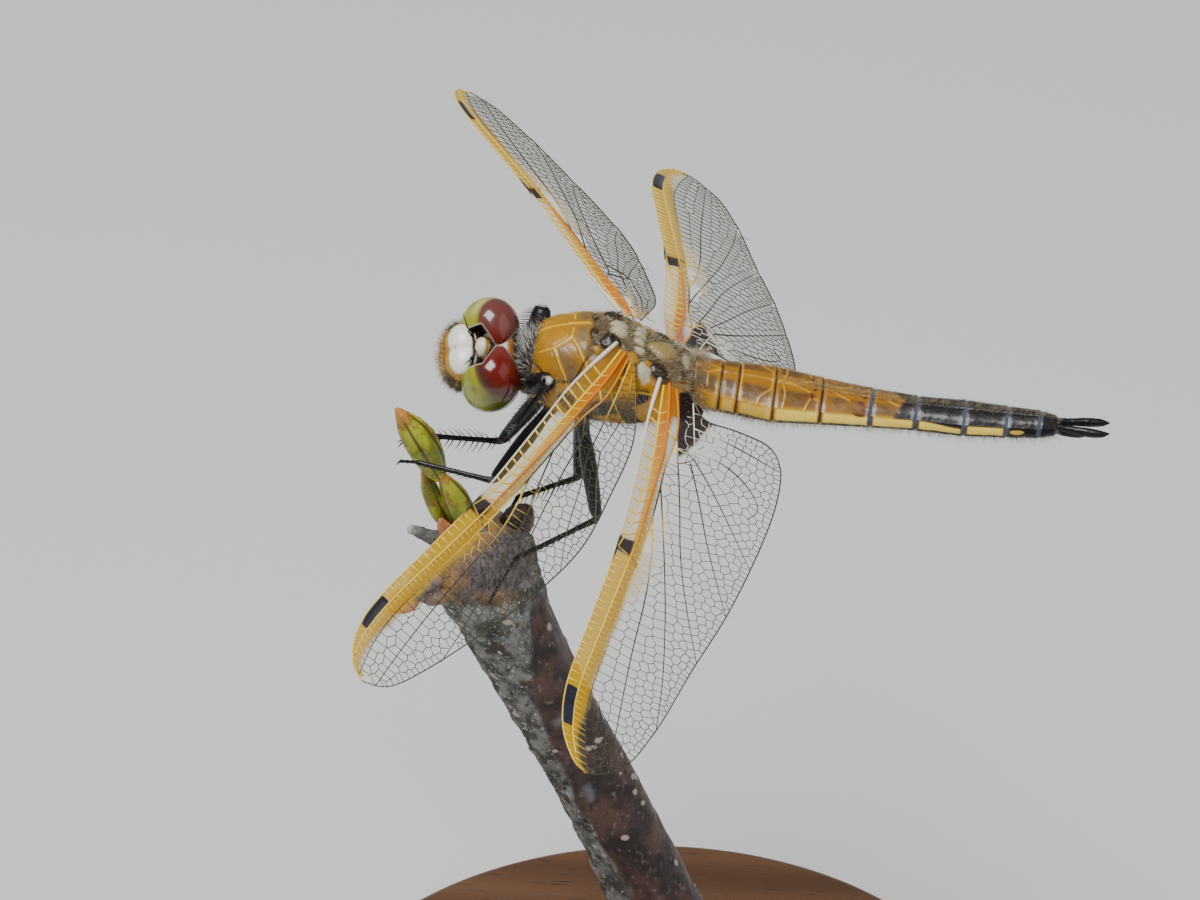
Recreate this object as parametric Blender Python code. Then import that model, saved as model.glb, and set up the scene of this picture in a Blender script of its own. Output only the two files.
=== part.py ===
"""A four-spotted chaser dragonfly perched on the budding tip of a twig, held by a small round stand.

The sizes are in millimetres and are turned into metres where a mesh is made. The origin is the middle of
the stand's underside and +Z is up. The insect's own frame has its origin in the thorax, on the axis of the
abdomen: +X runs to the tail, +Y to the insect's right, and +Z to its back. The head points along -X.
"""

import math

import bmesh
import bpy
from mathutils import Matrix, Vector

MM = 0.001
CLEARANCE = 0.05  # between neighbouring pieces
SMOOTH_BELOW = math.radians(50)

# Stand
BASE_RADIUS = 24.5
BASE_THICKNESS = 5.0
BASE_EDGE = 0.9
ROD_RADIUS = 1.0
ROD_FLANGE_RADIUS = 2.2
ROD_FLANGE_HEIGHT = 1.0
ROD_IN_BASE = 3.0
ROD_IN_TWIG = 3.0
ROD_FIT = 0.15

# Pose
THORAX_HEIGHT = 62.0
THORAX_AHEAD_OF_ROD = 1.3
BODY_PITCH = math.radians(7.3)
HEAD_CENTRE = Vector((-9.65, 0.0, -0.08))
HEAD_TILT = math.radians(31.0)
HEAD_TURN = math.radians(10.0)
ABDOMEN_ROLL = math.radians(6.0)

# Head, in its own frame
EYE_OFFSET = 1.9
EYE_RADII = Vector((1.9, 2.05, 2.5))
EYE_PART_LINE = 0.04
ANTENNA_RADIUS = 0.25
ANTENNA_REACH = 1.5

# Thorax: station, half width, height above and depth below the body's axis
THORAX_STATIONS = (
    (-6.45, 1.5, 1.6, 1.6),
    (-6.3, 2.0, 2.15, 2.1),
    (-5.9, 2.5, 2.7, 2.4),
    (-5.2, 2.95, 3.15, 2.7),
    (-4.2, 3.25, 3.5, 2.95),
    (-3.0, 3.4, 3.7, 3.05),
    (-1.8, 3.45, 3.65, 3.05),
    (-0.5, 3.45, 3.2, 2.95),
    (0.8, 3.35, 2.65, 2.7),
    (2.0, 3.05, 2.25, 2.35),
    (3.0, 2.6, 1.9, 2.0),
    (3.7, 2.1, 1.6, 1.7),
)
THORAX_ROUNDNESS = 2.5
THORAX_SIDES = 24
THORAX_SEAM_X = -1.7
THORAX_SEAM_LEAN = math.radians(35.0)
PROTHORAX_STATIONS = ((-7.85, 0.6), (-7.5, 0.85), (-7.35, 1.2), (-7.05, 1.65), (-6.7, 1.75), (-6.51, 1.5))

# Abdomen: where each ring begins, and half width and half thickness there
ABDOMEN_RINGS = (
    (3.75, 2.05, 1.6),
    (4.6, 2.15, 1.45),
    (5.72, 2.3, 1.3),
    (9.36, 2.65, 1.15),
    (12.53, 2.2, 1.0),
    (15.89, 1.8, 0.92),
    (18.92, 1.55, 0.86),
    (22.15, 1.62, 0.88),
    (24.98, 1.4, 0.8),
    (27.14, 1.2, 0.75),
    (28.48, 0.8, 0.55),
)
ABDOMEN_SIDES = 20
ABDOMEN_RIDGE = 1.15  # the back is higher than the belly is deep by this ratio each way
ABDOMEN_EDGE = 1.12  # over 1 sharpens the side edges
ABDOMEN_BEND_FROM = 12.0
ABDOMEN_TIP_LIFT = 0.8
RING_WAIST = 0.94  # a ring's ends are this share of its full section
RING_SWELL = 0.3  # length of the shoulder at each end of a ring
CERCUS_TIP_X = 31.8
CERCUS_RADIUS = 0.3

# Wings: outlines as (along the span, towards the rear), then each wing's side and its forward sweep,
# droop and pitch in degrees. The four are held a little unalike. Side is -1 for left and 1 for right.
WING_THICKNESS = 0.5
OUTLINE_STEPS = 3
FORE_HINGE = Vector((-2.0, 2.64, 3.45))
FORE_OUTLINE = (
    (-0.9, 0.1),
    (9.0, 0.3),
    (17.5, 0.4),
    (27.5, 0.15),
    (31.0, 0.5),
    (33.2, 1.6),
    (33.9, 3.1),
    (32.6, 4.6),
    (29.5, 5.6),
    (24.5, 6.6),
    (19.0, 7.4),
    (13.5, 7.6),
    (8.5, 6.6),
    (4.0, 5.3),
    (0.8, 3.1),
    (-0.9, 1.8),
)
HIND_HINGE = Vector((1.5, 3.34, 1.5))
HIND_OUTLINE = (
    (-0.9, 0.1),
    (7.0, 0.3),
    (15.1, 0.5),
    (22.0, 0.2),
    (28.2, -0.05),
    (31.8, 0.55),
    (34.0, 1.9),
    (34.1, 3.7),
    (32.0, 5.5),
    (27.5, 6.8),
    (22.0, 7.8),
    (16.2, 9.0),
    (10.5, 9.8),
    (5.2, 10.2),
    (1.6, 9.9),
    (-0.1, 8.7),
    (0.0, 6.3),
    (0.5, 3.8),
    (-0.9, 2.4),
)
WINGS = {
    "wing_fore_left": (FORE_HINGE, FORE_OUTLINE, -1, 27.3, 9.2, 26.8),
    "wing_fore_right": (FORE_HINGE, FORE_OUTLINE, 1, 24.5, 6.8, 23.5),
    "wing_hind_left": (HIND_HINGE, HIND_OUTLINE, -1, 6.8, 9.5, 21.4),
    "wing_hind_right": (HIND_HINGE, HIND_OUTLINE, 1, 3.3, 13.7, 19.9),
}

# Legs: hip, knee, ankle and claws on the left side and on the right, which don't hold alike
FEMUR_RADII = (0.3, 0.52, 0.5, 0.34)
TIBIA_RADIUS = 0.26
TARSUS_RADIUS = 0.25
LEG_SIDES = 8
KNEE_GAP = 0.62
LEGS = {
    "fore_left": ((-7.0, -1.0, -1.3), (-5.6, -3.35, 0.8), (-7.3, -4.0, -2.6), (-7.7, -3.0, -4.3)),
    "fore_right": ((-7.0, 1.0, -0.9), (-6.7, 2.95, 2.5), (-7.7, 4.0, -0.6), (-7.6, 3.2, -2.6)),
    "mid_left": ((-4.9, -1.5, -1.9), (-8.72, -3.2, -7.98), (-13.5, -1.9, -8.3), (-14.6, -0.9, -9.1)),
    "mid_right": ((-4.9, 1.5, -1.9), (-8.14, 3.2, -9.2), (-13.1, 1.95, -8.75), (-14.6, 0.9, -8.7)),
    "hind_left": ((-3.2, -1.5, -2.6), (-1.08, -3.6, -9.56), (-6.1, -3.75, -13.7), (-7.4, -4.0, -17.4)),
    "hind_right": ((-3.2, 1.5, -2.6), (-2.6, 3.6, -11.5), (-6.5, 3.75, -14.0), (-7.3, 4.0, -17.0)),
}

# Perch: height, centre and radius of the twig, all measured from the thorax
TWIG_STATIONS = (
    (-12.9, -9.9, 1.7),
    (-13.3, -10.1, 2.5),
    (-14.4, -10.3, 3.05),
    (-16.2, -10.1, 3.35),
    (-18.4, -9.6, 3.45),
    (-20.6, -8.65, 3.15),
    (-24.0, -7.1, 2.95),
    (-30.0, -4.45, 2.8),
    (-37.0, -1.33, 2.75),
    (-44.0, 1.78, 2.95),
)
TWIG_SIDES = 20
TWIG_LEAN_STRETCH = 1.09
TWIG_RIDGES = 3
TWIG_RIDGE_HEIGHT = 0.12
BUD_SIDES = 12
BUDS = {  # foot, tip, widest radius and the share of the length where it is widest
    "perch_bud_upper": ((-13.35, 0.1, -8.6), (-16.0, 0.0, -3.5), 1.15, 0.45),
    "perch_bud_lower": ((-11.2, -0.1, -13.4), (-13.05, -0.15, -8.6), 0.9, 0.5),
    "perch_bud_side": ((-12.3, 0.3, -13.9), (-14.7, 0.35, -8.6), 0.5, 0.55),
    "perch_bud_round": ((-12.3, -0.9, -16.2), (-15.1, -1.9, -17.2), 1.7, 0.5),
    "perch_bud_dark": ((-8.9, 0.6, -14.3), (-7.1, 0.9, -11.7), 1.15, 0.6),
    "perch_spur": ((-12.2, 0.2, -15.0), (-15.4, 0.3, -13.5), 0.6, 0.25),
}
SCALE_FOOT = Vector((-14.7, -1.9, -17.35))
SCALE_TIP = Vector((-16.45, -1.9, -18.75))
SCALE_HALF_WIDTH = 0.75
SCALE_HALF_THICKNESS = 0.28

FINISHES = {  # colour, roughness, metallic
    "amber": ((0.62, 0.30, 0.05, 1), 0.3, 0.0),
    "black": ((0.015, 0.014, 0.016, 1), 0.35, 0.0),
    "cream": ((0.80, 0.72, 0.45, 1), 0.35, 0.0),
    "eye": ((0.28, 0.05, 0.03, 1), 0.12, 0.0),
    "hairy": ((0.16, 0.14, 0.11, 1), 0.7, 0.0),
    "wing": ((0.55, 0.42, 0.16, 1), 0.25, 0.0),
    "bark": ((0.20, 0.17, 0.15, 1), 0.85, 0.0),
    "bud": ((0.36, 0.38, 0.03, 1), 0.45, 0.0),
    "wood": ((0.22, 0.11, 0.05, 1), 0.4, 0.0),
    "steel": ((0.55, 0.54, 0.52, 1), 0.3, 1.0),
}


def clear_scene():
    for obj in list(bpy.data.objects):
        bpy.data.objects.remove(obj)


def add_empty(name, location, rotation=(0, 0, 0), parent=None):
    """A bare frame that pieces are placed in."""
    empty = bpy.data.objects.new(name, None)
    bpy.context.scene.collection.objects.link(empty)
    empty.location = Vector(location) * MM
    empty.rotation_euler = rotation
    empty.parent = parent
    return empty


def add_piece(name, shape, finish, parent=None):
    """Turns a shape in millimetres into an object with a material of its own."""
    bmesh.ops.scale(shape, vec=(MM, MM, MM), verts=shape.verts)
    mesh = bpy.data.meshes.new(name)
    shape.to_mesh(mesh)
    shape.free()
    mesh.shade_smooth()
    mesh.set_sharp_from_angle(angle=SMOOTH_BELOW)
    colour, roughness, metallic = FINISHES[finish]
    material = bpy.data.materials.new(name)
    material.use_nodes = True
    shader = material.node_tree.nodes["Principled BSDF"]
    shader.inputs["Base Color"].default_value = colour
    shader.inputs["Roughness"].default_value = roughness
    shader.inputs["Metallic"].default_value = metallic
    mesh.materials.append(material)
    piece = bpy.data.objects.new(name, mesh)
    bpy.context.scene.collection.objects.link(piece)
    piece.parent = parent
    return piece


def loft(rings):
    """A closed skin over rings of equally many points, capped at both ends."""
    shape = bmesh.new()
    rows = [[shape.verts.new(point) for point in ring] for ring in rings]
    count = len(rows[0])
    for near, far in zip(rows, rows[1:]):
        for i in range(count):
            shape.faces.new((near[i], near[(i + 1) % count], far[(i + 1) % count], far[i]))
    shape.faces.new(rows[0][::-1])
    shape.faces.new(rows[-1])
    bmesh.ops.recalc_face_normals(shape, faces=shape.faces)
    return shape


def turned(profile, sides):
    """A turned solid from (height, radius) pairs, about the vertical axis."""
    angles = [math.tau * i / sides for i in range(sides)]
    return loft([[Vector((r * math.cos(a), r * math.sin(a), z)) for a in angles] for z, r in profile])


def ball(centre, radii, sides=16, rows=10):
    shape = bmesh.new()
    place = Matrix.Translation(centre) @ Matrix.Diagonal((*radii, 1.0))
    bmesh.ops.create_uvsphere(shape, u_segments=sides, v_segments=rows, radius=1.0, matrix=place)
    return shape


def tube(path, radii, sides, flatten=1.0):
    """A tube through the path's points, with one radius at each and rings square to the run of the path."""
    points = [Vector(p) for p in path]
    rings = []
    for i, point in enumerate(points):
        along = (points[min(i + 1, len(points) - 1)] - points[max(i - 1, 0)]).normalized()
        across = along.cross(Vector((0.1, 1.0, 0.2))).normalized()
        up = along.cross(across)
        turns = [math.tau * k / sides for k in range(sides)]
        rings.append([
            point + radii[i] * (across * math.cos(t) + up * math.sin(t) * flatten) for t in turns
        ])
    return loft(rings)


def cut_away(shape, point, normal):
    """Removes what lies on the normal's side of a plane and closes the cut."""
    everything = shape.verts[:] + shape.edges[:] + shape.faces[:]
    bmesh.ops.bisect_plane(shape, geom=everything, plane_co=point, plane_no=normal, clear_outer=True)
    bmesh.ops.holes_fill(shape, edges=[edge for edge in shape.edges if edge.is_boundary])
    bmesh.ops.recalc_face_normals(shape, faces=shape.faces)
    return shape


def as_object(shape):
    mesh = bpy.data.meshes.new("working")
    shape.to_mesh(mesh)
    shape.free()
    body = bpy.data.objects.new("working", mesh)
    bpy.context.scene.collection.objects.link(body)
    return body


def subtract(shape, *tools):
    """What is left of the shape once the tools' space is taken out of it."""
    body = as_object(shape)
    cutters = [as_object(tool) for tool in tools]
    for cutter in cutters:
        step = body.modifiers.new("cut", "BOOLEAN")
        step.operation = "DIFFERENCE"
        step.object = cutter
    evaluated = body.evaluated_get(bpy.context.evaluated_depsgraph_get())
    left = bmesh.new()
    left.from_mesh(evaluated.to_mesh())
    evaluated.to_mesh_clear()
    for used in (body, *cutters):
        bpy.data.objects.remove(used)
    bmesh.ops.dissolve_degenerate(left, dist=0.002, edges=left.edges)
    return left


def rounded(angle, power):
    """A point on a superellipse of unit size."""
    c, s = math.cos(angle), math.sin(angle)
    return math.copysign(abs(c) ** power, c), math.copysign(abs(s) ** power, s)


def smooth_outline(corners, steps):
    """A closed curve that passes through every corner, by Catmull and Rom's rule."""
    count = len(corners)
    curve = []
    for i in range(count):
        p0, p1, p2, p3 = (Vector(corners[(i + k) % count]) for k in (-1, 0, 1, 2))
        for k in range(steps):
            t = k / steps
            curve.append(0.5 * (
                2 * p1 + (p2 - p0) * t
                + (2 * p0 - 5 * p1 + 4 * p2 - p3) * t * t
                + (3 * p1 - p0 - 3 * p2 + p3) * t ** 3
            ))
    return curve


def eye_space(side, grow):
    """An eye's ball, larger by grow all round. Side is -1 for the left eye and 1 for the right."""
    radii = EYE_RADII + Vector((grow, grow, grow))
    return ball(Vector((0.0, side * EYE_OFFSET, 0.0)), radii, sides=20, rows=12)


def make_head(head):
    for word, side in (("left", -1), ("right", 1)):
        eye = cut_away(eye_space(side, 0.0), (0, side * EYE_PART_LINE, 0), (0, -side, 0))
        add_piece(f"eye_{word}", eye, "eye", head)

    def clear_of_eyes(shape):
        return subtract(shape, eye_space(-1, CLEARANCE), eye_space(1, CLEARANCE))

    capsule = ball((0.45, 0, -0.35), (1.35, 2.9, 2.2))
    capsule = cut_away(capsule, (-0.6, 0, 0), (-1, 0, 0))
    add_piece("head_capsule", clear_of_eyes(capsule), "hairy", head)

    vertex = ball((-1.0, 0, 0.35), (0.55, 0.8, 0.95), sides=14, rows=8)
    vertex = cut_away(vertex, (-0.6 - CLEARANCE, 0, 0), (1, 0, 0))
    vertex = cut_away(vertex, (0, 0, -0.35), (0, 0, -1))
    add_piece("head_vertex", clear_of_eyes(vertex), "cream", head)

    frons = cut_away(ball((-1.9, 0, -0.1), (1.5, 2.2, 1.45)), (0, 0, -0.35), (0, 0, -1))
    frons = cut_away(frons, (-1.6, 0, 0), (1, 0, 0))
    add_piece("head_frons", clear_of_eyes(frons), "cream", head)

    clypeus = cut_away(ball((-1.75, 0, -0.7), (1.55, 2.3, 1.6)), (0, 0, -0.35 - CLEARANCE), (0, 0, 1))
    clypeus = cut_away(clypeus, (0, 0, -1.25), (0, 0, -1))
    clypeus = cut_away(clypeus, (-0.6 - CLEARANCE, 0, 0), (1, 0, 0))
    add_piece("head_clypeus", clear_of_eyes(clypeus), "amber", head)

    labrum = cut_away(ball((-1.3, 0, -1.2), (1.65, 2.2, 1.7)), (0, 0, -1.25 - CLEARANCE), (0, 0, 1))
    labrum = cut_away(labrum, (-0.6 - CLEARANCE, 0, 0), (1, 0, 0))
    add_piece("head_labrum", clear_of_eyes(labrum), "amber", head)

    for word, side in (("left", -1), ("right", 1)):
        foot = Vector((-1.62, side * 0.62, 1.45))
        tip = foot + Vector((-0.55, side * 0.6, 0.75)).normalized() * ANTENNA_REACH
        feeler = tube((foot, tip), (ANTENNA_RADIUS, ANTENNA_RADIUS), 6)
        add_piece(f"antenna_{word}", feeler, "black", head)


def thorax_space(grow):
    """The thorax as one closed body, larger by grow."""
    angles = [math.tau * (i + 0.5) / THORAX_SIDES for i in range(THORAX_SIDES)]
    rings = []
    for x, half_width, above, below in THORAX_STATIONS:
        ring = []
        for angle in angles:
            y, z = rounded(angle, 2 / THORAX_ROUNDNESS)
            height = above if z > 0 else below
            ring.append(Vector((x, y * (half_width + grow), z * (height + grow))))
        rings.append(ring)
    rings[0] = [point - Vector((grow, 0, 0)) for point in rings[0]]
    rings[-1] = [point + Vector((grow, 0, 0)) for point in rings[-1]]
    return loft(rings)


def prothorax_space(grow):
    angles = [math.tau * i / 16 for i in range(16)]
    rings = [
        [Vector((x, (r + grow) * math.cos(a), (r + grow) * math.sin(a) - 0.1)) for a in angles]
        for x, r in PROTHORAX_STATIONS
    ]
    return loft(rings)


def make_thorax(body):
    lean = Vector((math.cos(THORAX_SEAM_LEAN), 0, -math.sin(THORAX_SEAM_LEAN)))
    seam = Vector((THORAX_SEAM_X, 0, 0))
    front = cut_away(thorax_space(0), seam - lean * CLEARANCE / 2, lean)
    rear = cut_away(thorax_space(0), seam + lean * CLEARANCE / 2, -lean)
    add_piece("prothorax", prothorax_space(0), "hairy", body)
    add_piece("mesothorax", front, "amber", body)
    add_piece("metathorax", rear, "amber", body)


def abdomen_section(x):
    """Half width, half thickness and height of the abdomen's axis at a station."""
    for (x0, w0, h0), (x1, w1, h1) in zip(ABDOMEN_RINGS, ABDOMEN_RINGS[1:]):
        if x <= x1:
            share = max(0.0, (x - x0) / (x1 - x0))
            break
    bend = max(0.0, (x - ABDOMEN_BEND_FROM) / (ABDOMEN_RINGS[-1][0] - ABDOMEN_BEND_FROM))
    return w0 + (w1 - w0) * share, h0 + (h1 - h0) * share, ABDOMEN_TIP_LIFT * bend ** 2


def abdomen_ring(x, size):
    """One cross-section: a low roof above and a shallow belly below, rolled about the body's axis."""
    half_width, half_height, lift = abdomen_section(x)
    roll = Matrix.Rotation(ABDOMEN_ROLL, 3, "X")
    ring = []
    for i in range(ABDOMEN_SIDES):
        y, z = rounded(math.tau * (i + 0.5) / ABDOMEN_SIDES, ABDOMEN_EDGE)
        z *= ABDOMEN_RIDGE if z > 0 else 2 - ABDOMEN_RIDGE
        ring.append(roll @ Vector((x, y * half_width * size, z * half_height * size)) + Vector((0, 0, lift)))
    return ring


def make_abdomen(body):
    starts = [station[0] for station in ABDOMEN_RINGS]
    for number, (start, end) in enumerate(zip(starts, starts[1:]), 1):
        start += CLEARANCE / 2
        end -= CLEARANCE / 2
        swell = min(RING_SWELL, (end - start) / 4)
        stations = (
            (start, RING_WAIST), (start + swell, 1), ((start + end) / 2, 1), (end - swell, 1), (end, RING_WAIST)
        )
        rings = [abdomen_ring(x, size) for x, size in stations]
        finish = "amber" if number < 7 else "black"
        add_piece(f"abdomen_{number:02d}", loft(rings), finish, body)
    tail = ABDOMEN_RINGS[-1][0] + CLEARANCE
    root_height = ABDOMEN_TIP_LIFT + 0.1
    for word, side in (("left", -1), ("right", 1)):
        path = [
            (tail, side * 0.36, root_height),
            (tail + 1.2, side * 0.5, root_height + 0.1),
            (CERCUS_TIP_X - 0.6, side * 0.62, root_height + 0.2),
            (CERCUS_TIP_X, side * 0.6, root_height + 0.25),
        ]
        radii = (0.25, CERCUS_RADIUS, 0.27, 0.12)
        add_piece(f"cercus_{word}", tube(path, radii, 8), "black", body)
    plate = tube(
        [(tail, 0, root_height - 0.55), (tail + 1.0, 0, root_height - 0.55), (tail + 1.9, 0, root_height - 0.5)],
        (0.26, 0.26, 0.18), 8,
    )
    add_piece("epiproct", plate, "black", body)


def make_wing(name, hinge, outline, side, sweep, droop, pitch, body):
    """A flat plate in the wing's plane, cut clear of the thorax at its root."""
    sweep, droop, pitch = (math.radians(angle) for angle in (sweep, droop, pitch))
    span = Vector((
        -math.cos(droop) * math.sin(sweep), side * math.cos(droop) * math.cos(sweep), -math.sin(droop)
    ))
    level_chord = (Vector((1, 0, 0)) - span * span.x).normalized()
    upward = level_chord.cross(span) * side
    chord = level_chord * math.cos(pitch) - upward * math.sin(pitch)
    normal = chord.cross(span) * side
    root = Vector((hinge.x, side * hinge.y, hinge.z))
    curve = smooth_outline(outline, OUTLINE_STEPS)
    faces = []
    for height in (-WING_THICKNESS / 2, WING_THICKNESS / 2):
        faces.append([root + span * s + chord * t + normal * height for s, t in curve])
    plate = subtract(loft(faces), thorax_space(CLEARANCE))
    add_piece(name, plate, "wing", body)


def make_leg(name, joints, body):
    """Three lengths from the hip to the claws. The thigh ends clear of the body's side."""
    hip, knee, ankle, claws = (Vector(joint) for joint in joints)
    thigh = knee - hip
    reach = thigh.length
    stations = (0.0, 0.3, 0.7, (reach - KNEE_GAP) / reach)
    femur = tube([hip + thigh * share for share in stations], FEMUR_RADII, LEG_SIDES)
    femur = subtract(femur, thorax_space(CLEARANCE), prothorax_space(CLEARANCE))
    add_piece(f"femur_{name}", femur, "black", body)
    shin = (ankle - knee).normalized()
    tibia = tube(
        [knee + shin * KNEE_GAP, (knee + ankle) / 2, ankle - shin * CLEARANCE],
        (TIBIA_RADIUS, TIBIA_RADIUS, TIBIA_RADIUS), LEG_SIDES,
    )
    add_piece(f"tibia_{name}", tibia, "black", body)
    foot = (claws - ankle).normalized()
    tarsus = tube(
        [ankle + foot * (TIBIA_RADIUS + CLEARANCE), (ankle + claws) / 2, claws],
        (TARSUS_RADIUS, TARSUS_RADIUS, TARSUS_RADIUS), LEG_SIDES,
    )
    add_piece(f"tarsus_{name}", tarsus, "black", body)


def twig_space(grow):
    """The leaning twig with its knobbly head, cut level at its foot around the rod's hole."""
    angles = [math.tau * i / TWIG_SIDES for i in range(TWIG_SIDES)]

    def ring(z, x, radius):
        points = []
        for angle in angles:
            bulge = radius + TWIG_RIDGE_HEIGHT * math.sin(TWIG_RIDGES * angle + z * 0.35)
            points.append(Vector((
                x + bulge * TWIG_LEAN_STRETCH * math.cos(angle), bulge * math.sin(angle), z
            )))
        return points

    rings = [ring(z, x, radius + grow) for z, x, radius in TWIG_STATIONS]
    rings[0] = [point + Vector((0, 0, grow)) for point in rings[0]]
    foot = TWIG_STATIONS[-1][0]
    hole = ROD_RADIUS + ROD_FIT
    for z in (foot, foot + ROD_IN_TWIG + ROD_FIT):
        rings.append([
            Vector((THORAX_AHEAD_OF_ROD + hole * math.cos(a), hole * math.sin(a), z)) for a in angles
        ])
    return loft(rings)


def bud(foot, tip, radius, widest):
    """A pointed bud: round at the foot, widest part-way and drawn out to the tip."""
    foot, tip = Vector(foot), Vector(tip)
    shares = (0.0, 0.1, widest * 0.6, widest, (1 + widest) / 2, 0.93, 1.0)
    widths = (0.35, 0.62, 0.94, 1.0, 0.72, 0.34, 0.16)
    path = [foot.lerp(tip, share) for share in shares]
    return tube(path, [radius * width for width in widths], BUD_SIDES)


def make_perch(perch):
    """The twig, its buds and a loose bud scale that hangs on the round bud."""
    add_piece("perch_twig", twig_space(0), "bark", perch)
    for name, (foot, tip, radius, widest) in BUDS.items():
        shape = subtract(bud(foot, tip, radius, widest), twig_space(CLEARANCE))
        finish = "bud" if name in ("perch_bud_upper", "perch_bud_lower", "perch_bud_side") else "bark"
        add_piece(name, shape, finish, perch)
    flake = tube(
        [SCALE_FOOT.lerp(SCALE_TIP, share) for share in (0.0, 0.3, 0.7, 1.0)],
        [SCALE_HALF_WIDTH * width for width in (0.5, 0.95, 0.9, 0.35)],
        BUD_SIDES, flatten=SCALE_HALF_THICKNESS / SCALE_HALF_WIDTH,
    )
    foot, tip, radius, widest = BUDS["perch_bud_round"]
    flake = subtract(flake, bud(foot, tip, radius + CLEARANCE, widest))
    add_piece("perch_scale", flake, "bark", perch)


def make_stand():
    """A turned disc with a rod set in its middle."""
    top = BASE_THICKNESS
    hole = ROD_RADIUS + ROD_FIT
    base = turned([
        (0, BASE_RADIUS - BASE_EDGE / 2),
        (BASE_EDGE / 2, BASE_RADIUS),
        (top - BASE_EDGE, BASE_RADIUS),
        (top - BASE_EDGE / 4, BASE_RADIUS - BASE_EDGE / 4),
        (top, BASE_RADIUS - BASE_EDGE),
        (top, hole),
        (top - ROD_IN_BASE, hole),
    ], 64)
    add_piece("stand_base", base, "wood")
    rod_top = THORAX_HEIGHT + TWIG_STATIONS[-1][0] + ROD_IN_TWIG
    rod = turned([
        (top - ROD_IN_BASE + CLEARANCE, ROD_RADIUS),
        (top + CLEARANCE, ROD_RADIUS),
        (top + CLEARANCE, ROD_FLANGE_RADIUS),
        (top + ROD_FLANGE_HEIGHT / 2, ROD_FLANGE_RADIUS),
        (top + ROD_FLANGE_HEIGHT, ROD_RADIUS * 1.3),
        (top + ROD_FLANGE_HEIGHT * 1.3, ROD_RADIUS),
        (rod_top - ROD_RADIUS / 3, ROD_RADIUS),
        (rod_top, ROD_RADIUS * 0.6),
    ], 24)
    add_piece("stand_rod", rod, "steel")


def make_all():
    clear_scene()
    make_stand()
    perch = add_empty("perch_frame", (-THORAX_AHEAD_OF_ROD, 0, THORAX_HEIGHT))
    make_perch(perch)
    body = add_empty("body_frame", (0, 0, 0), (0, BODY_PITCH, 0), perch)
    head = add_empty("head_frame", HEAD_CENTRE, (HEAD_TILT, 0, HEAD_TURN), body)
    make_head(head)
    make_thorax(body)
    make_abdomen(body)
    for name, (hinge, outline, side, sweep, droop, pitch) in WINGS.items():
        make_wing(name, hinge, outline, side, sweep, droop, pitch, body)
    for name, joints in LEGS.items():
        make_leg(name, joints, body)


make_all()
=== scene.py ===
"""A four-spotted chaser dragonfly on the budding tip of a twig: a life-size museum model on its stand.

Sizes are in millimetres and are turned into metres where a mesh is made. The insect's own frame has its
origin in the thorax: +X runs to the tail, +Y to the insect's right and +Z to its back.
"""

import math

import bpy
import numpy as np
from mathutils import Euler, Matrix, Vector, noise
from mathutils.geometry import delaunay_2d_cdt
from mathutils.kdtree import KDTree


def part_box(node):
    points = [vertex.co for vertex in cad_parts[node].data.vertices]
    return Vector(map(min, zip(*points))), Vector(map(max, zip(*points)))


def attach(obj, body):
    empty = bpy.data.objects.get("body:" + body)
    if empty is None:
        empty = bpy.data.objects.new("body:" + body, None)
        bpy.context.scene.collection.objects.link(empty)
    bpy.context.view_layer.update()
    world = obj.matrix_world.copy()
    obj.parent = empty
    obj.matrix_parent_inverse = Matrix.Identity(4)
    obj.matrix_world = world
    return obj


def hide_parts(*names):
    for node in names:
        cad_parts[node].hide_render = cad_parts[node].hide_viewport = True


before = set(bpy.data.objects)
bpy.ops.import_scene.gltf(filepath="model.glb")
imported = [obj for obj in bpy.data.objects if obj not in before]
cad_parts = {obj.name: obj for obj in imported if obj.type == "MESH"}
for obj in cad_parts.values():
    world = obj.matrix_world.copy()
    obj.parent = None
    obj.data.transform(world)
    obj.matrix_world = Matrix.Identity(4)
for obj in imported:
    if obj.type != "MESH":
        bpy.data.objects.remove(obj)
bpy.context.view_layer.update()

# ------------------------ camera
# A long lens looks down on the insect's left side from a little behind its shoulder, so the far wings
# stand above the back and the near ones hang below it.
MM = 0.001
THORAX = Vector((-1.3, 0.0, 62.0))
VIEW_TURN = math.radians(4.0)
VIEW_LIFT = math.radians(35.0)
VIEW_DISTANCE = 800.0
VIEW_WIDTH = 80.0
SENSOR = 36.0

right = Vector((math.cos(VIEW_TURN), math.sin(VIEW_TURN), 0.0))
level = Vector((-math.sin(VIEW_TURN), math.cos(VIEW_TURN), 0.0))
towards = Vector((0, 0, 1)) * math.sin(VIEW_LIFT) - level * math.cos(VIEW_LIFT)
upward = towards.cross(right)
aim = THORAX - right * 2.33 - upward * 5.02
lens = bpy.data.cameras.new("view")
lens.sensor_width = SENSOR
lens.lens = SENSOR * VIEW_DISTANCE / VIEW_WIDTH
lens.clip_start = 0.01
camera = bpy.data.objects.new("view", lens)
camera.matrix_world = (
    Matrix.Translation((aim + towards * VIEW_DISTANCE) * MM)
    @ Matrix((right, upward, towards)).transposed().to_4x4()
)
bpy.context.scene.collection.objects.link(camera)
bpy.context.scene.camera = camera

# ------------------------ floor and lights
# A plain pale floor under soft studio light: one broad key above the insect's left shoulder, a weaker
# fill from the tail side and a pale surround.


def add_node(tree, kind, sockets=None, **settings):
    """A shader node, with its settings and with its sockets linked or set."""
    made = tree.nodes.new("ShaderNode" + kind)
    for name, value in settings.items():
        setattr(made, name, value)
    for key, value in (sockets or {}).items():
        if isinstance(value, bpy.types.NodeSocket):
            tree.links.new(value, made.inputs[key])
        else:
            made.inputs[key].default_value = value
    return made


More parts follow.
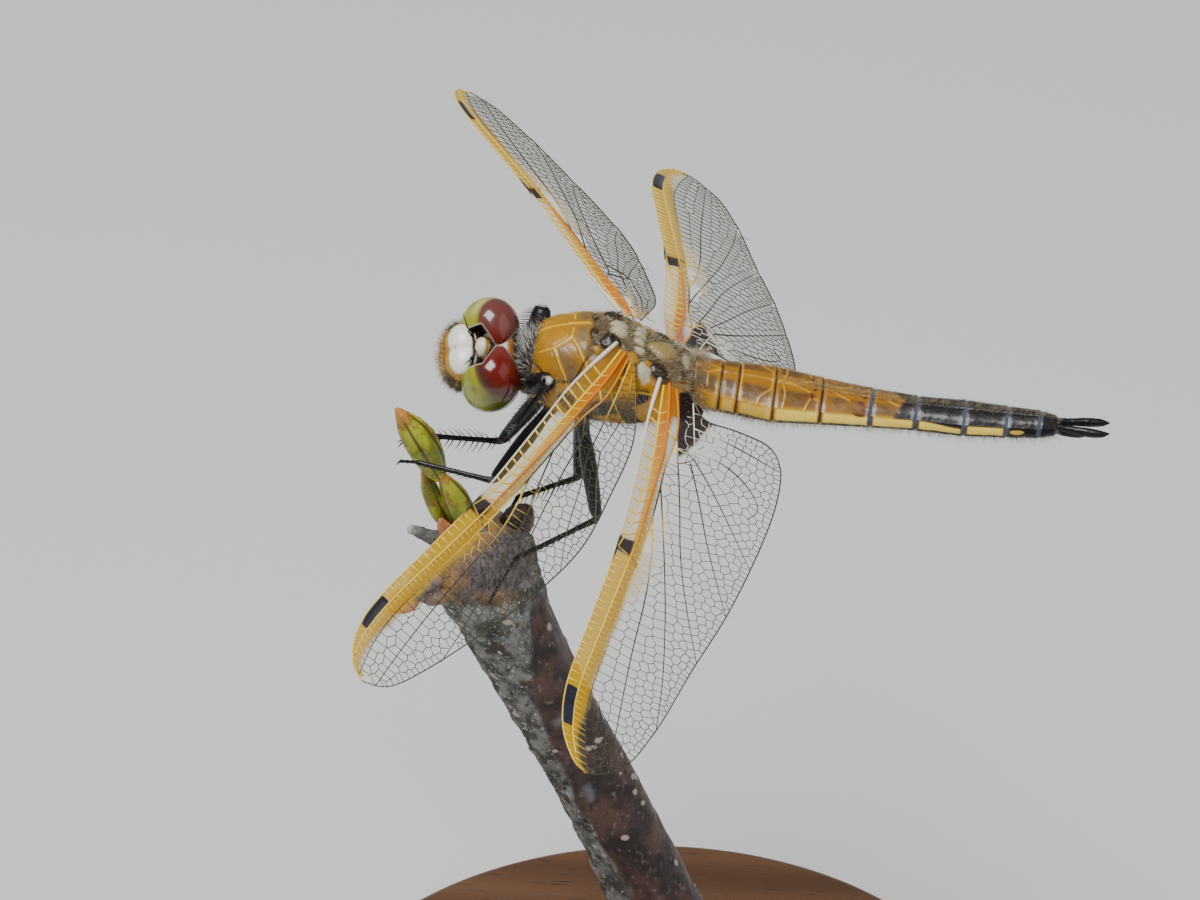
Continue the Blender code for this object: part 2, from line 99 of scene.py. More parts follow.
def calc(tree, operation, *values):
    """The result of a Math node."""
    return add_node(tree, "Math", dict(enumerate(values)), operation=operation).outputs[0]


def times(tree, first, *others):
    """The product of values."""
    for other in others:
        first = calc(tree, "MULTIPLY", first, other)
    return first


def plus(tree, first, *others):
    """The sum of values."""
    for other in others:
        first = calc(tree, "ADD", first, other)
    return first


def scaled(tree, value, factor, offset):
    """A value times a factor, plus an offset."""
    return calc(tree, "MULTIPLY_ADD", value, factor, offset)


def blend(tree, share, first, second):
    """First colour to second by share."""
    first, second = ((*c, 1.0) if isinstance(c, tuple) and len(c) == 3 else c for c in (first, second))
    return add_node(tree, "Mix", {0: share, 6: first, 7: second}, data_type="RGBA").outputs[2]


def edge(tree, value, low, high):
    """0 below low, 1 above high and a smooth step between. Low over high turns it round."""
    sockets = {"Value": value, "From Min": low, "From Max": high}
    return add_node(tree, "MapRange", sockets, interpolation_type="SMOOTHSTEP").outputs[0]


def grain(tree, where, scale, detail=3.0, roughness=0.55):
    """Fractal noise from 0 to 1."""
    sockets = {"Vector": where, "Scale": scale, "Detail": detail, "Roughness": roughness}
    return add_node(tree, "TexNoise", sockets).outputs[0]


def new_material(name, **plain):
    """A material, its node tree, its Principled shader with plain values set, and the place in metres."""
    material = bpy.data.materials.new(name)
    material.use_nodes = True
    tree = material.node_tree
    shader = tree.nodes["Principled BSDF"]
    for socket, value in plain.items():
        shader.inputs[socket.replace("_", " ").title().replace("Ior", "IOR")].default_value = value
    return material, tree, shader, add_node(tree, "TexCoord").outputs["Object"]


def connect(shader, **sources):
    """Links colours and values to the shader's sockets."""
    for socket, source in sources.items():
        shader.id_data.links.new(source, shader.inputs[socket.replace("_", " ")])


def bump(tree, height, distance, strength=1.0):
    """A normal from a height of 0 to 1 that stands for the distance in millimetres."""
    sockets = {"Height": height, "Distance": distance * MM, "Strength": strength}
    return add_node(tree, "Bump", sockets).outputs[0]


FLOOR_SIZE = 6000.0
KEY_SIZE, KEY_POWER = 300.0, 3.7
FILL_SIZE, FILL_POWER = 500.0, 0.55
LIGHT_DISTANCE = 520.0
SURROUND_COLOUR, SURROUND_POWER = (0.86, 0.92, 1.0, 1.0), 0.16

half = FLOOR_SIZE / 2 * MM
floor_mesh = bpy.data.meshes.new("floor")
corners = [(-half, -half, 0), (half, -half, 0), (half, half, 0), (-half, half, 0)]
floor_mesh.from_pydata(corners, [], [(0, 1, 2, 3)])
floor = bpy.data.objects.new("floor", floor_mesh)
bpy.context.scene.collection.objects.link(floor)
floor_finish, tree, shader, where = new_material("pale_floor", roughness=0.8)
cloud = grain(tree, where, 9.0)
connect(shader, Base_Color=blend(tree, cloud, (0.76, 0.76, 0.74), (0.80, 0.795, 0.78)))
floor_mesh.materials.append(floor_finish)

for name, size, power, way in (
    ("key_light", KEY_SIZE, KEY_POWER, towards * 0.70 + upward * 0.70 - right * 0.20),
    ("fill_light", FILL_SIZE, FILL_POWER, towards * 0.5 + upward * 0.25 + right * 0.9),
):
    lamp = bpy.data.lights.new(name, "AREA")
    lamp.size = size * MM
    lamp.energy = power
    light = bpy.data.objects.new(name, lamp)
    light.location = (THORAX + way.normalized() * LIGHT_DISTANCE) * MM
    light.rotation_euler = (light.location - THORAX * MM).to_track_quat("Z", "Y").to_euler()
    bpy.context.scene.collection.objects.link(light)

surround = bpy.data.worlds.new("surround")
surround.use_nodes = True
background = surround.node_tree.nodes["Background"]
background.inputs["Color"].default_value = SURROUND_COLOUR
background.inputs["Strength"].default_value = SURROUND_POWER
bpy.context.scene.world = surround

# ------------------------ stand base
# A turned walnut disc, oiled, with a softened edge and a fine bead. It lies on its flat underside and a
# hole in its middle takes the rod.


def build(name, points, faces, material, masks=None):
    """A piece from points in world millimetres. Masks are named values at the points."""
    mesh = bpy.data.meshes.new(name)
    mesh.from_pydata((np.asarray(points, float) * MM).tolist(), [], faces)
    for mask, values in (masks or {}).items():
        layer = mesh.attributes.new(mask, "FLOAT", "POINT")
        layer.data.foreach_set("value", np.asarray(values, np.float32))
    mesh.shade_smooth()
    mesh.materials.append(material)
    piece = bpy.data.objects.new(name, mesh)
    bpy.context.scene.collection.objects.link(piece)
    return piece


def loft_faces(rows, columns, closed=True, caps=True):
    """Quads over rows of points that follow each other, and a face on each end."""
    faces = []
    for row in range(rows - 1):
        for column in range(columns if closed else columns - 1):
            after = (column + 1) % columns
            a, b = row * columns, (row + 1) * columns
            faces.append((a + column, a + after, b + after, b + column))
    if caps:
        faces.append(tuple(range(columns - 1, -1, -1)))
        faces.append(tuple(range((rows - 1) * columns, rows * columns)))
    return faces


def turned(profile, sides):
    """Points and faces of a solid turned about the vertical axis from (height, radius) pairs."""
    turns = np.arange(sides) * math.tau / sides
    rows = [np.column_stack((r * np.cos(turns), r * np.sin(turns), np.full(sides, z))) for z, r in profile]
    return np.vstack(rows), loft_faces(len(profile), sides)


def attribute(tree, name):
    """A mask that a piece carries at its points."""
    return add_node(tree, "Attribute", attribute_name=name).outputs["Fac"]


def stretched(tree, where, scale, shift=(0, 0, 0)):
    """The place scaled along each axis, which draws a texture out."""
    return add_node(tree, "Mapping", {"Vector": where, "Scale": scale, "Location": shift}).outputs[0]


BASE_SIDES = 192
EDGE_ROUND = 1.1
BEAD_HEIGHT, BEAD_DEPTH = 0.75, 0.12
ROD_HOLE = 1.15
base_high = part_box("stand_base")[1] / MM
rod_low, rod_high = (corner.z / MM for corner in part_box("stand_rod"))
base_radius, base_top = base_high.x, base_high.z
rounding = [
    (base_top - EDGE_ROUND * (1 - math.sin(turn)), base_radius - EDGE_ROUND * (1 - math.cos(turn)))
    for turn in np.linspace(0, math.pi / 2, 9)
]
bead = [
    (BEAD_HEIGHT + BEAD_DEPTH * math.cos(turn), base_radius - BEAD_DEPTH * math.sin(turn))
    for turn in np.linspace(math.pi, 0, 7)
]
points, faces = turned(
    [(0.0, base_radius - 0.5), (0.12, base_radius - 0.22), (0.4, base_radius)] + bead + rounding
    + [(base_top, base_radius * 0.6), (base_top, ROD_HOLE), (rod_low - 0.05, ROD_HOLE)],
    BASE_SIDES,
)

walnut, tree, shader, where = new_material("oiled_walnut", coat_weight=0.12, coat_roughness=0.25)
along = stretched(tree, where, (1.0, 9.0, 9.0), (0.02, 0.31, 0.11))
rings = add_node(
    tree, "TexWave", {"Vector": along, "Scale": 9.0, "Distortion": 5.5, "Detail": 3.0, "Detail Scale": 1.4},
    wave_type="BANDS", bands_direction="Y",
).outputs[1]
fibre = stretched(tree, where, (0.06, 1.0, 1.0))
streak = grain(tree, fibre, 3200.0, 4.0)
pore = edge(tree, grain(tree, fibre, 5200.0, 2.0), 0.60, 0.70)
colour = blend(tree, rings, (0.105, 0.048, 0.023), (0.175, 0.085, 0.040))
colour = blend(tree, times(tree, streak, 0.6), colour, (0.13, 0.062, 0.030))
colour = blend(tree, times(tree, pore, 0.75), colour, (0.030, 0.014, 0.008))
connect(
    shader, Base_Color=colour,
    Roughness=scaled(tree, streak, 0.22, 0.34),
    Normal=bump(tree, calc(tree, "SUBTRACT", streak, pore), 0.03),
)
stand_base = build("stand_base_turned", points, faces, walnut)
stand_base.data.set_sharp_from_angle(angle=math.radians(40))
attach(stand_base, "root")
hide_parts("stand_base")

# ------------------------ stand rod
# A thin steel rod with a turned collar that sits on the base. Its top end is pushed into the cut foot of
# the twig.
ROD_RADIUS, ROD_SIDES = 1.0, 64
collar = [
    (base_top + 0.05 + 0.95 * share, ROD_RADIUS + 1.2 * math.cos(share * math.pi / 2) ** 0.7)
    for share in np.linspace(0, 0.98, 12)
]
points, faces = turned(
    [(rod_low, ROD_RADIUS), (base_top + 0.05, ROD_RADIUS)] + collar
    + [(base_top + 1.3, ROD_RADIUS), (rod_high - 0.35, ROD_RADIUS), (rod_high - 0.1, 0.85),
       (rod_high, 0.6)],
    ROD_SIDES,
)
steel, tree, shader, where = new_material("brushed_steel", metallic=1.0)
brushed = grain(tree, stretched(tree, where, (1.0, 1.0, 0.02)), 9000.0, 3.0)
smudge = grain(tree, where, 420.0, 2.0)
connect(
    shader, Base_Color=blend(tree, brushed, (0.42, 0.41, 0.40), (0.62, 0.61, 0.59)),
    Roughness=scaled(tree, smudge, 0.2, 0.2), Normal=bump(tree, brushed, 0.012),
)
stand_rod = build("stand_rod_turned", points, faces, steel)
stand_rod.data.set_sharp_from_angle(angle=math.radians(40))
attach(stand_rod, "root")
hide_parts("stand_rod")

# ------------------------ twig
# A cut length of a grey twig: rough bark with pale pores, worn through to smooth dark bark down one side.
# Its knobbly head carries the buds, and its foot is cut level and bored for the rod.


def smooth_path(corners, steps):
    """An open curve through every corner, by Catmull and Rom's rule. Corners hold any number of values."""
    corners = np.asarray(corners, float)
    padded = np.vstack((2 * corners[0] - corners[1], corners, 2 * corners[-1] - corners[-2]))
    curve = []
    for p0, p1, p2, p3 in zip(padded, padded[1:], padded[2:], padded[3:]):
        for t in np.arange(steps) / steps:
            curve.append(0.5 * (
                2 * p1 + (p2 - p0) * t + (2 * p0 - 5 * p1 + 4 * p2 - p3) * t * t
                + (3 * p1 - p0 - 3 * p2 + p3) * t ** 3
            ))
    curve.append(corners[-1])
    return np.array(curve)


def rough(points, scale, octaves=3, stretch=(1, 1, 1)):
    """Fractal noise, about -1 to 1, at each point. Scale is in features for each millimetre."""
    scaled = np.asarray(points, float) * scale * np.asarray(stretch, float)
    return np.array([noise.fractal(point, 1.0, 2.0, octaves) for point in scaled.tolist()])


def rise(value, low, high):
    """0 below low, 1 above high and a smooth step between. Low over high turns it round."""
    share = np.clip((np.asarray(value, float) - low) / (high - low), 0.0, 1.0)
    return share * share * (3 - 2 * share)


def unit(vectors):
    """The same directions at length one."""
    return vectors / np.linalg.norm(vectors, axis=-1, keepdims=True)


def in_perch(points):
    """World points of points given from the thorax."""
    return np.asarray(points, float) + np.array(THORAX)


def painted(tree, colour, *areas):
    """The colour with masked areas over it, each of one tone or of two mixed by a texture."""
    for mask, *tones in areas:
        tone = tones[0] if len(tones) == 1 else blend(tree, *tones)
        colour = blend(tree, attribute(tree, mask), colour, tone)
    return colour


TWIG_STATIONS = (  # height and centre from the thorax, and radius
    (-12.9, -9.9, 1.7),
    (-13.3, -10.1, 2.5),
    (-14.4, -10.3, 3.05),
    (-16.2, -10.1, 3.35),
    (-18.4, -9.6, 3.45),
    (-20.6, -8.65, 3.15),
    (-24.0, -7.1, 2.95),
    (-30.0, -4.45, 2.8),
    (-37.0, -1.33, 2.75),
    (-44.0, 1.78, 2.95),
)
TWIG_LEAN_STRETCH = 1.09
TWIG_ROWS, TWIG_SIDES = 250, 150
TWIG_SEED, PORES = 7, 70
STRIP = ((-45, -110), (-33, -108), (-24, -84), (-19, -52), (-17, -30))  # height and where the strip starts
STRIP_END = 42.0
CROWN_X, FOOT_X = -9.9, 1.3
FOOT_Z, BORE_TOP = -44.0, -40.9

line = smooth_path(TWIG_STATIONS, 12)
heights = np.linspace(TWIG_STATIONS[0][0], TWIG_STATIONS[-1][0], TWIG_ROWS)
centres = np.interp(-heights, -line[:, 0], line[:, 1])
radii = np.interp(-heights, -line[:, 0], line[:, 2])
turn = np.tile(np.arange(TWIG_SIDES) * math.tau / TWIG_SIDES, TWIG_ROWS)
z = np.repeat(heights, TWIG_SIDES)
x = np.repeat(centres, TWIG_SIDES)
r = np.repeat(radii, TWIG_SIDES)
r = r + 0.12 * np.sin(3 * turn + z * 0.35)
skin = np.column_stack((x + r * TWIG_LEAN_STRETCH * np.cos(turn), r * np.sin(turn), z))
head_share = rise(z, -22.0, -16.0)
lumps = rough(skin, 0.42, 2)
folds = rough(skin, 1.15, 3, (1, 1, 0.6))
crust = rough(skin, 3.4, 3)
wander = 9.0 * rough(skin, 0.5, 3, (1, 1, 0.35))
strip_from = np.interp(z, *zip(*STRIP)) + wander
bearing = np.degrees((turn + math.pi) % math.tau - math.pi)
dark = rise(bearing, strip_from - 2, strip_from + 4) * rise(bearing + wander, STRIP_END + 4, STRIP_END - 4)
dark = dark * rise(z + 1.2 * lumps, -17.4, -19.0)
rng = np.random.default_rng(TWIG_SEED)
pore = np.zeros(len(skin))
for _ in range(PORES):
    at_z, at_turn, size = rng.uniform(-43.5, -16), rng.uniform(0, math.tau), rng.uniform(0.12, 0.34)
    apart = (turn - at_turn + math.pi) % math.tau - math.pi
    pore = np.maximum(pore, np.exp(-(((z - at_z) / size) ** 2 + (apart * r / (size * 1.25)) ** 2)))
out = (
    0.40 * lumps * head_share + 0.10 * lumps + (0.13 + 0.05 * head_share) * folds * (1 - 0.75 * dark)
    + 0.055 * crust * (1 - 0.7 * dark) - 0.10 * dark + 0.12 * pore
)
skin[:, 0] += out * np.cos(turn)
skin[:, 1] += out * np.sin(turn)
skin[:, 2] += 0.25 * out * rise(z, -15.0, -13.0)
crown = [
    np.column_stack((CROWN_X + share * (skin[:TWIG_SIDES, 0] - CROWN_X), share * skin[:TWIG_SIDES, 1],
                     skin[:TWIG_SIDES, 2] + (1 - share) * 0.35))
    for share in (0.12, 0.35, 0.6, 0.82)
]
foot_turn = turn[:TWIG_SIDES]
bore_x, bore_y = FOOT_X + ROD_HOLE * np.cos(foot_turn), ROD_HOLE * np.sin(foot_turn)
bore = [np.column_stack((bore_x, bore_y, np.full(TWIG_SIDES, height))) for height in (FOOT_Z, BORE_TOP)]
points = np.vstack((*crown, skin, *bore))


def facing(degrees, low, high):
    """A mask of the side of the twig that faces one way, with a ragged border."""
    return rise(np.cos(turn - math.radians(degrees)) + 0.2 * folds, low, high)


masks = {
    "dark": dark, "pore": pore,
    "shoulder": rise(z + 1.3 * lumps + 0.4 * folds, -17.4, -15.4) * facing(215, -0.3, 0.4),
    # the recessed furrows of the bark, darkened below as painted shade
    "crevice": rise(-(folds + 0.5 * crust), 0.25, 0.85) * (1 - 0.75 * head_share),
    "cone": rise(z + 0.7 * lumps + 0.5 * folds, -16.6, -15.5) * facing(298, 0.50, 0.85),
}
for name, values in masks.items():
    crown_values = np.full(len(crown) * TWIG_SIDES, values[:TWIG_SIDES].mean())
    masks[name] = np.concatenate((crown_values, values, np.full(len(bore) * TWIG_SIDES, values[-1])))
masks["cut"] = np.zeros(len(points))
masks["cut"][-3 * TWIG_SIDES + 1:] = 1.0
bark, tree, shader, where = new_material("grey_bark")
patch = grain(tree, where, 700.0, 4.0, 0.6)
fleck = grain(tree, where, 3600.0, 3.0)
colour = blend(tree, edge(tree, patch, 0.38, 0.62), (0.062, 0.060, 0.052), (0.25, 0.25, 0.23))
colour = blend(tree, edge(tree, fleck, 0.57, 0.70), colour, (0.50, 0.50, 0.48))
rust = edge(tree, grain(tree, where, 1500.0, 3.0), 0.58, 0.68)
colour = blend(tree, rust, colour, (0.13, 0.075, 0.045))
tan = edge(tree, grain(tree, where, 520.0, 4.0), 0.36, 0.62)
warm = blend(tree, tan, (0.16, 0.060, 0.022), (0.50, 0.26, 0.05))
streak = grain(tree, stretched(tree, where, (1.0, 1.0, 0.35)), 4600.0, 5.0, 0.65)
warm = blend(tree, edge(tree, streak, 0.54, 0.70), warm, (0.12, 0.085, 0.09))
colour = blend(tree, times(tree, attribute(tree, "shoulder"), 0.9), colour, warm)
sooty = edge(tree, grain(tree, where, 500.0, 4.0), 0.36, 0.66)
smooth_bark = blend(tree, sooty, (0.018, 0.008, 0.007), (0.105, 0.048, 0.036))
flakes = edge(tree, grain(tree, where, 2200.0, 4.0), 0.56, 0.72)
smooth_bark = blend(tree, flakes, smooth_bark, (0.19, 0.125, 0.11))
lichen = edge(tree, grain(tree, where, 330.0, 4.0), 0.58, 0.74)
smooth_bark = blend(tree, lichen, smooth_bark, (0.17, 0.155, 0.165))
growth = add_node(tree, "TexWave", {"Vector": where, "Scale": 900.0, "Distortion": 1.5},
                  wave_type="RINGS", rings_direction="Z").outputs[1]
colour = painted(
    tree, colour, ("cone", edge(tree, streak, 0.36, 0.66), (0.055, 0.042, 0.048), (0.20, 0.165, 0.175)),
    ("dark", smooth_bark))
# The bark goes almost black down in its furrows: painted shade in the recesses.
colour = blend(tree, edge(tree, attribute(tree, "crevice"), 0.2, 1.0), colour, (0.022, 0.018, 0.015))
colour = blend(tree, edge(tree, attribute(tree, "pore"), 0.35, 0.75), colour, (0.52, 0.43, 0.36))
colour = painted(tree, colour, ("cut", growth, (0.42, 0.33, 0.20), (0.60, 0.50, 0.33)))
connect(
    shader, Base_Color=colour,
    Roughness=scaled(tree, attribute(tree, "dark"), -0.38, 0.86),
    Normal=bump(tree, plus(tree, fleck, grain(tree, where, 9000.0, 2.0)), 0.05, 0.7),
)
twig = build("twig", in_perch(points), loft_faces(len(points) // TWIG_SIDES, TWIG_SIDES), bark, masks)
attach(twig, "root")
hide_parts("perch_twig")

# ------------------------ buds
# Swollen green buds with pointed, withered tips stand on the twig's head, with a round brown bud, a dark
# knob and a grey spur beside them. Each is a lobed body drawn out along its own axis.
LOBED_ROWS = LOBED_SIDES = 56


def lobed(foot, tip, widths, lobes, depth, bend, lump):
    """Points, faces and masks of a lobed body. Widths are shares along its axis and radii there."""
    rows, sides = LOBED_ROWS, LOBED_SIDES
    foot, tip, bend = (np.array(p, float) for p in (foot, tip, bend))
    along = unit(tip - foot)
    across = unit(np.cross(along, (0.1, 1.0, 0.2)))
    deep = np.cross(along, across)
    shares = np.linspace(0, 1, rows)
    girth = smooth_path(widths, 8)
    girth = np.interp(shares, girth[:, 0], girth[:, 1])
    turns = np.arange(sides) * math.tau / sides
    points = []
    for share, radius in zip(shares, girth):
        centre = foot + (tip - foot) * share + bend * math.sin(math.pi * share)
        swell = radius * (1 - depth + depth * np.abs(np.cos(lobes / 2 * turns + share * 0.7)))
        points.append(
            centre + np.outer(swell * np.cos(turns), across) + np.outer(swell * np.sin(turns), deep))
    points = np.vstack(points)
    middle = np.repeat([foot + (tip - foot) * s for s in shares], sides, axis=0)
    outward = points - middle
    outward /= np.linalg.norm(outward, axis=1)[:, None] + 1e-9
    points += outward * (lump * rough(points, 1.3, 3) + 0.25 * lump * rough(points, 5.0, 2))[:, None]
    # The grooves between the lobes carry a mask that the bud finishes darken as painted shade.
    crease = np.tile(1 - np.abs(np.cos(lobes / 2 * turns)), rows)
    return points, loft_faces(rows, sides), {"along": np.repeat(shares, sides), "crease": crease}


def new_group(name, takes, gives):
    """A node group that materials share, with its input and output nodes. Its sockets are named."""
    tree = bpy.data.node_groups.new(name, "ShaderNodeTree")
    for way, sockets in (("INPUT", takes), ("OUTPUT", gives)):
        for word, kind in sockets:
            tree.interface.new_socket(name=word, in_out=way, socket_type="NodeSocket" + kind)
    return tree, tree.nodes.new("NodeGroupInput").outputs, tree.nodes.new("NodeGroupOutput").inputs


def through(tree, group, sockets):
    """The outputs of a group placed in a material."""
    return add_node(tree, "Group", sockets, node_tree=group).outputs


leafy, given, given_back = new_group(  # two tones in soft patches with fine streaks of a third
    "leafy_streaks", (("Place", "Vector"), ("Low", "Color"), ("High", "Color"), ("Vein", "Color")),
    (("Colour", "Color"), ("Streak", "Float")))
patches = edge(leafy, grain(leafy, given["Place"], 650.0, 3.0), 0.35, 0.65)
colour = blend(leafy, patches, given["Low"], given["High"])
fine = grain(leafy, stretched(leafy, given["Place"], (1.0, 1.0, 0.3)), 4200.0)
leafy.links.new(blend(leafy, edge(leafy, fine, 0.55, 0.72), colour, given["Vein"]), given_back["Colour"])
leafy.links.new(fine, given_back["Streak"])


def streaked(tree, where, low, high, vein):
    """Colour and streaks of the leafy group."""
    tones = {word: (*tone, 1.0) for word, tone in (("Low", low), ("High", high), ("Vein", vein))}
    made = through(tree, leafy, {"Place": where, **tones})
    return made["Colour"], made["Streak"]


green, tree, shader, where = new_material(
    "green_bud", subsurface_weight=0.15, subsurface_scale=0.0004, coat_weight=0.1)
colour, fine = streaked(tree, where, (0.17, 0.24, 0.008), (0.50, 0.52, 0.03), (0.34, 0.24, 0.03))
blotch = times(tree, edge(tree, grain(tree, where, 900.0, 4.0, 0.65), 0.50, 0.62), 0.85)
colour = blend(tree, blotch, colour, (0.30, 0.13, 0.02))
# Darker down the grooves between the lobes: painted shade.
colour = blend(tree, edge(tree, attribute(tree, "crease"), 0.55, 0.95), colour, (0.10, 0.06, 0.008))
withered = edge(tree, scaled(tree, fine, 0.18, attribute(tree, "along")), 0.88, 1.04)
colour = blend(tree, withered, colour, (0.55, 0.24, 0.045))
connect(
    shader, Base_Color=colour, Roughness=scaled(tree, fine, 0.3, 0.34),
    Normal=bump(tree, plus(tree, fine, blotch), 0.05),
)
brown, tree, shader, where = new_material("brown_bud")
colour, fine = streaked(tree, where, (0.17, 0.12, 0.13), (0.50, 0.30, 0.17), (0.24, 0.19, 0.20))
# Darker down the grooves between the lobes: painted shade.
colour = blend(tree, edge(tree, attribute(tree, "crease"), 0.6, 1.0), colour, (0.08, 0.045, 0.03))
colour = blend(tree, edge(tree, grain(tree, where, 2600.0, 3.0), 0.60, 0.70), colour, (0.50, 0.40, 0.30))
connect(shader, Base_Color=colour, Roughness=scaled(tree, fine, 0.3, 0.55),
        Normal=bump(tree, fine, 0.07))
husk, tree, shader, where = new_material("papery_scale", subsurface_weight=0.25, subsurface_scale=0.0003)
colour, fine = streaked(tree, where, (0.62, 0.22, 0.07), (0.78, 0.40, 0.17), (0.48, 0.16, 0.05))
connect(shader, Base_Color=colour, Roughness=scaled(tree, fine, 0.2, 0.45),
        Normal=bump(tree, fine, 0.05))
lead, tree, shader, where = new_material("grey_spur")
colour, fine = streaked(tree, where, (0.13, 0.13, 0.125), (0.36, 0.36, 0.35), (0.05, 0.045, 0.04))
bleached = edge(tree, scaled(tree, fine, 0.25, attribute(tree, "along")), 0.92, 1.10)
colour = blend(tree, bleached, colour, (0.55, 0.53, 0.49))
connect(shader, Base_Color=colour, Roughness=scaled(tree, fine, 0.2, 0.7),
        Normal=bump(tree, fine, 0.08))

PLUMP = ((0, 0.4), (0.12, 0.68), (0.3, 0.94), (0.5, 1.0), (0.7, 0.82), (0.86, 0.5), (0.96, 0.24), (1, 0.1))
ROUND = (
    (0, 0.35), (0.1, 0.62), (0.28, 0.94), (0.5, 1.02), (0.72, 0.86), (0.9, 0.5), (0.98, 0.25), (1, 0.1))
HORN = ((0, 0.8), (0.15, 1.0), (0.35, 0.95), (0.6, 0.75), (0.8, 0.62), (0.94, 0.50), (1, 0.18))
BUDS = (  # name, foot, tip, radius, profile, lobes, lobe depth, bend, finish
    ("bud_upper", (-13.1, 0.1, -9.1), (-16.0, 0.0, -3.5), 1.2, PLUMP, 5, 0.16, (0.1, 0, 0.15), green),
    ("bud_lower", (-11.2, -0.1, -13.6), (-13.05, -0.15, -8.5), 0.98, PLUMP, 3, 0.12, (0.15, 0, 0.1), green),
    ("bud_side", (-12.3, 0.3, -13.9), (-14.3, 0.35, -8.3), 0.72, PLUMP, 4, 0.2, (-0.25, 0, 0), green),
    ("bud_round", (-12.3, -0.9, -16.2), (-15.1, -1.9, -17.2), 1.7, ROUND, 5, 0.12, (0, 0, 0), brown),
    ("bud_dark", (-8.9, 0.6, -14.3), (-7.1, 0.9, -11.7), 1.15, ROUND, 3, 0.08, (0, 0, 0), bark),
    ("spur", (-12.2, 0.2, -15.0), (-15.4, 0.3, -13.5), 0.66, HORN, 3, 0.14, (0, 0, 0.12), lead),
)
for name, foot, tip, radius, profile, lobes, depth, bend, finish in BUDS:
    node = "perch_" + name
    widths = [(share, width * radius) for share, width in profile]
    points, faces, masks = lobed(foot, tip, widths, lobes, depth, bend, 0.045 if finish == green else 0.1)
    if finish == bark:
        masks = {"dark": np.ones(len(points))}
    piece = build(name, in_perch(points), faces, finish, masks)
    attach(piece, "root")
    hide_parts(node)

# ------------------------ bud scales
# Thin dry scales: an orange one curls off the round bud, and tan ones wrap the foot of the green buds.
SCALES = (  # name, foot, tip, half width, cupping direction, node
    ("scale_loose", (-14.7, -1.9, -17.35), (-16.45, -1.9, -18.75), 0.85, (0.3, -0.75, 0.6), "perch_scale"),
    ("scale_front", (-12.3, -0.75, -13.6), (-12.95, -0.85, -11.6), 0.62, (-0.3, -0.8, 0.3), None),
    ("scale_back", (-11.9, 0.9, -13.6), (-12.3, 0.95, -11.7), 0.6, (0.2, 0.9, 0.2), None),
    ("scale_right", (-10.6, -0.7, -13.4), (-10.9, -0.85, -12.1), 0.6, (0.6, -0.7, 0.3), None),
)
SCALE_ROWS, SCALE_COLUMNS = 26, 21
for name, foot, tip, half_width, cup, node in SCALES:
    foot, tip, cup = (np.array(p, float) for p in (foot, tip, cup))
    along = unit(tip - foot)
    across = unit(np.cross(along, cup))
    out = np.cross(across, along)
    share, side = (grid.ravel() for grid in np.meshgrid(
        np.linspace(0, 1, SCALE_ROWS), np.linspace(-1, 1, SCALE_COLUMNS), indexing="ij"))
    width = half_width * (0.45 + 0.75 * np.sin(math.pi * np.clip(share * 0.92 + 0.08, 0, 1)) ** 0.8
                          - 0.42 * share)
    points = (foot + np.outer(share, tip - foot) + np.outer(side * width, across)
              + np.outer(0.35 * half_width * (1 - side ** 2) + 0.2 * share ** 2, out))
    points += np.outer(0.06 * rough(points, 1.6, 3), out)
    faces = loft_faces(SCALE_ROWS, SCALE_COLUMNS, closed=False, caps=False)
    piece = build(name, in_perch(points), faces, husk)
    thick = piece.modifiers.new("thickness", "SOLIDIFY")
    thick.thickness = 0.12 * MM
    thick.offset = 0.0
    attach(piece, "root")
    if node:
        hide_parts(node)

# ------------------------ wings
# Four wings of clear film stretched on hollow veins. Each is pleated along its front edge, where a ladder
# of gold crossveins joins the costa, subcosta and radius. Behind them the main veins fan to the rear
# margin and the film between is divided into small cells. A narrow root fixes each to the thorax.
BODY_PITCH = math.radians(7.3)
body_turn = np.array(Matrix.Rotation(BODY_PITCH, 3, "Y"))


def in_body(points):
    """World points of points in the insect's own frame, which has the pitch of its body."""
    return np.asarray(points, float) @ body_turn.T + np.array(THORAX)


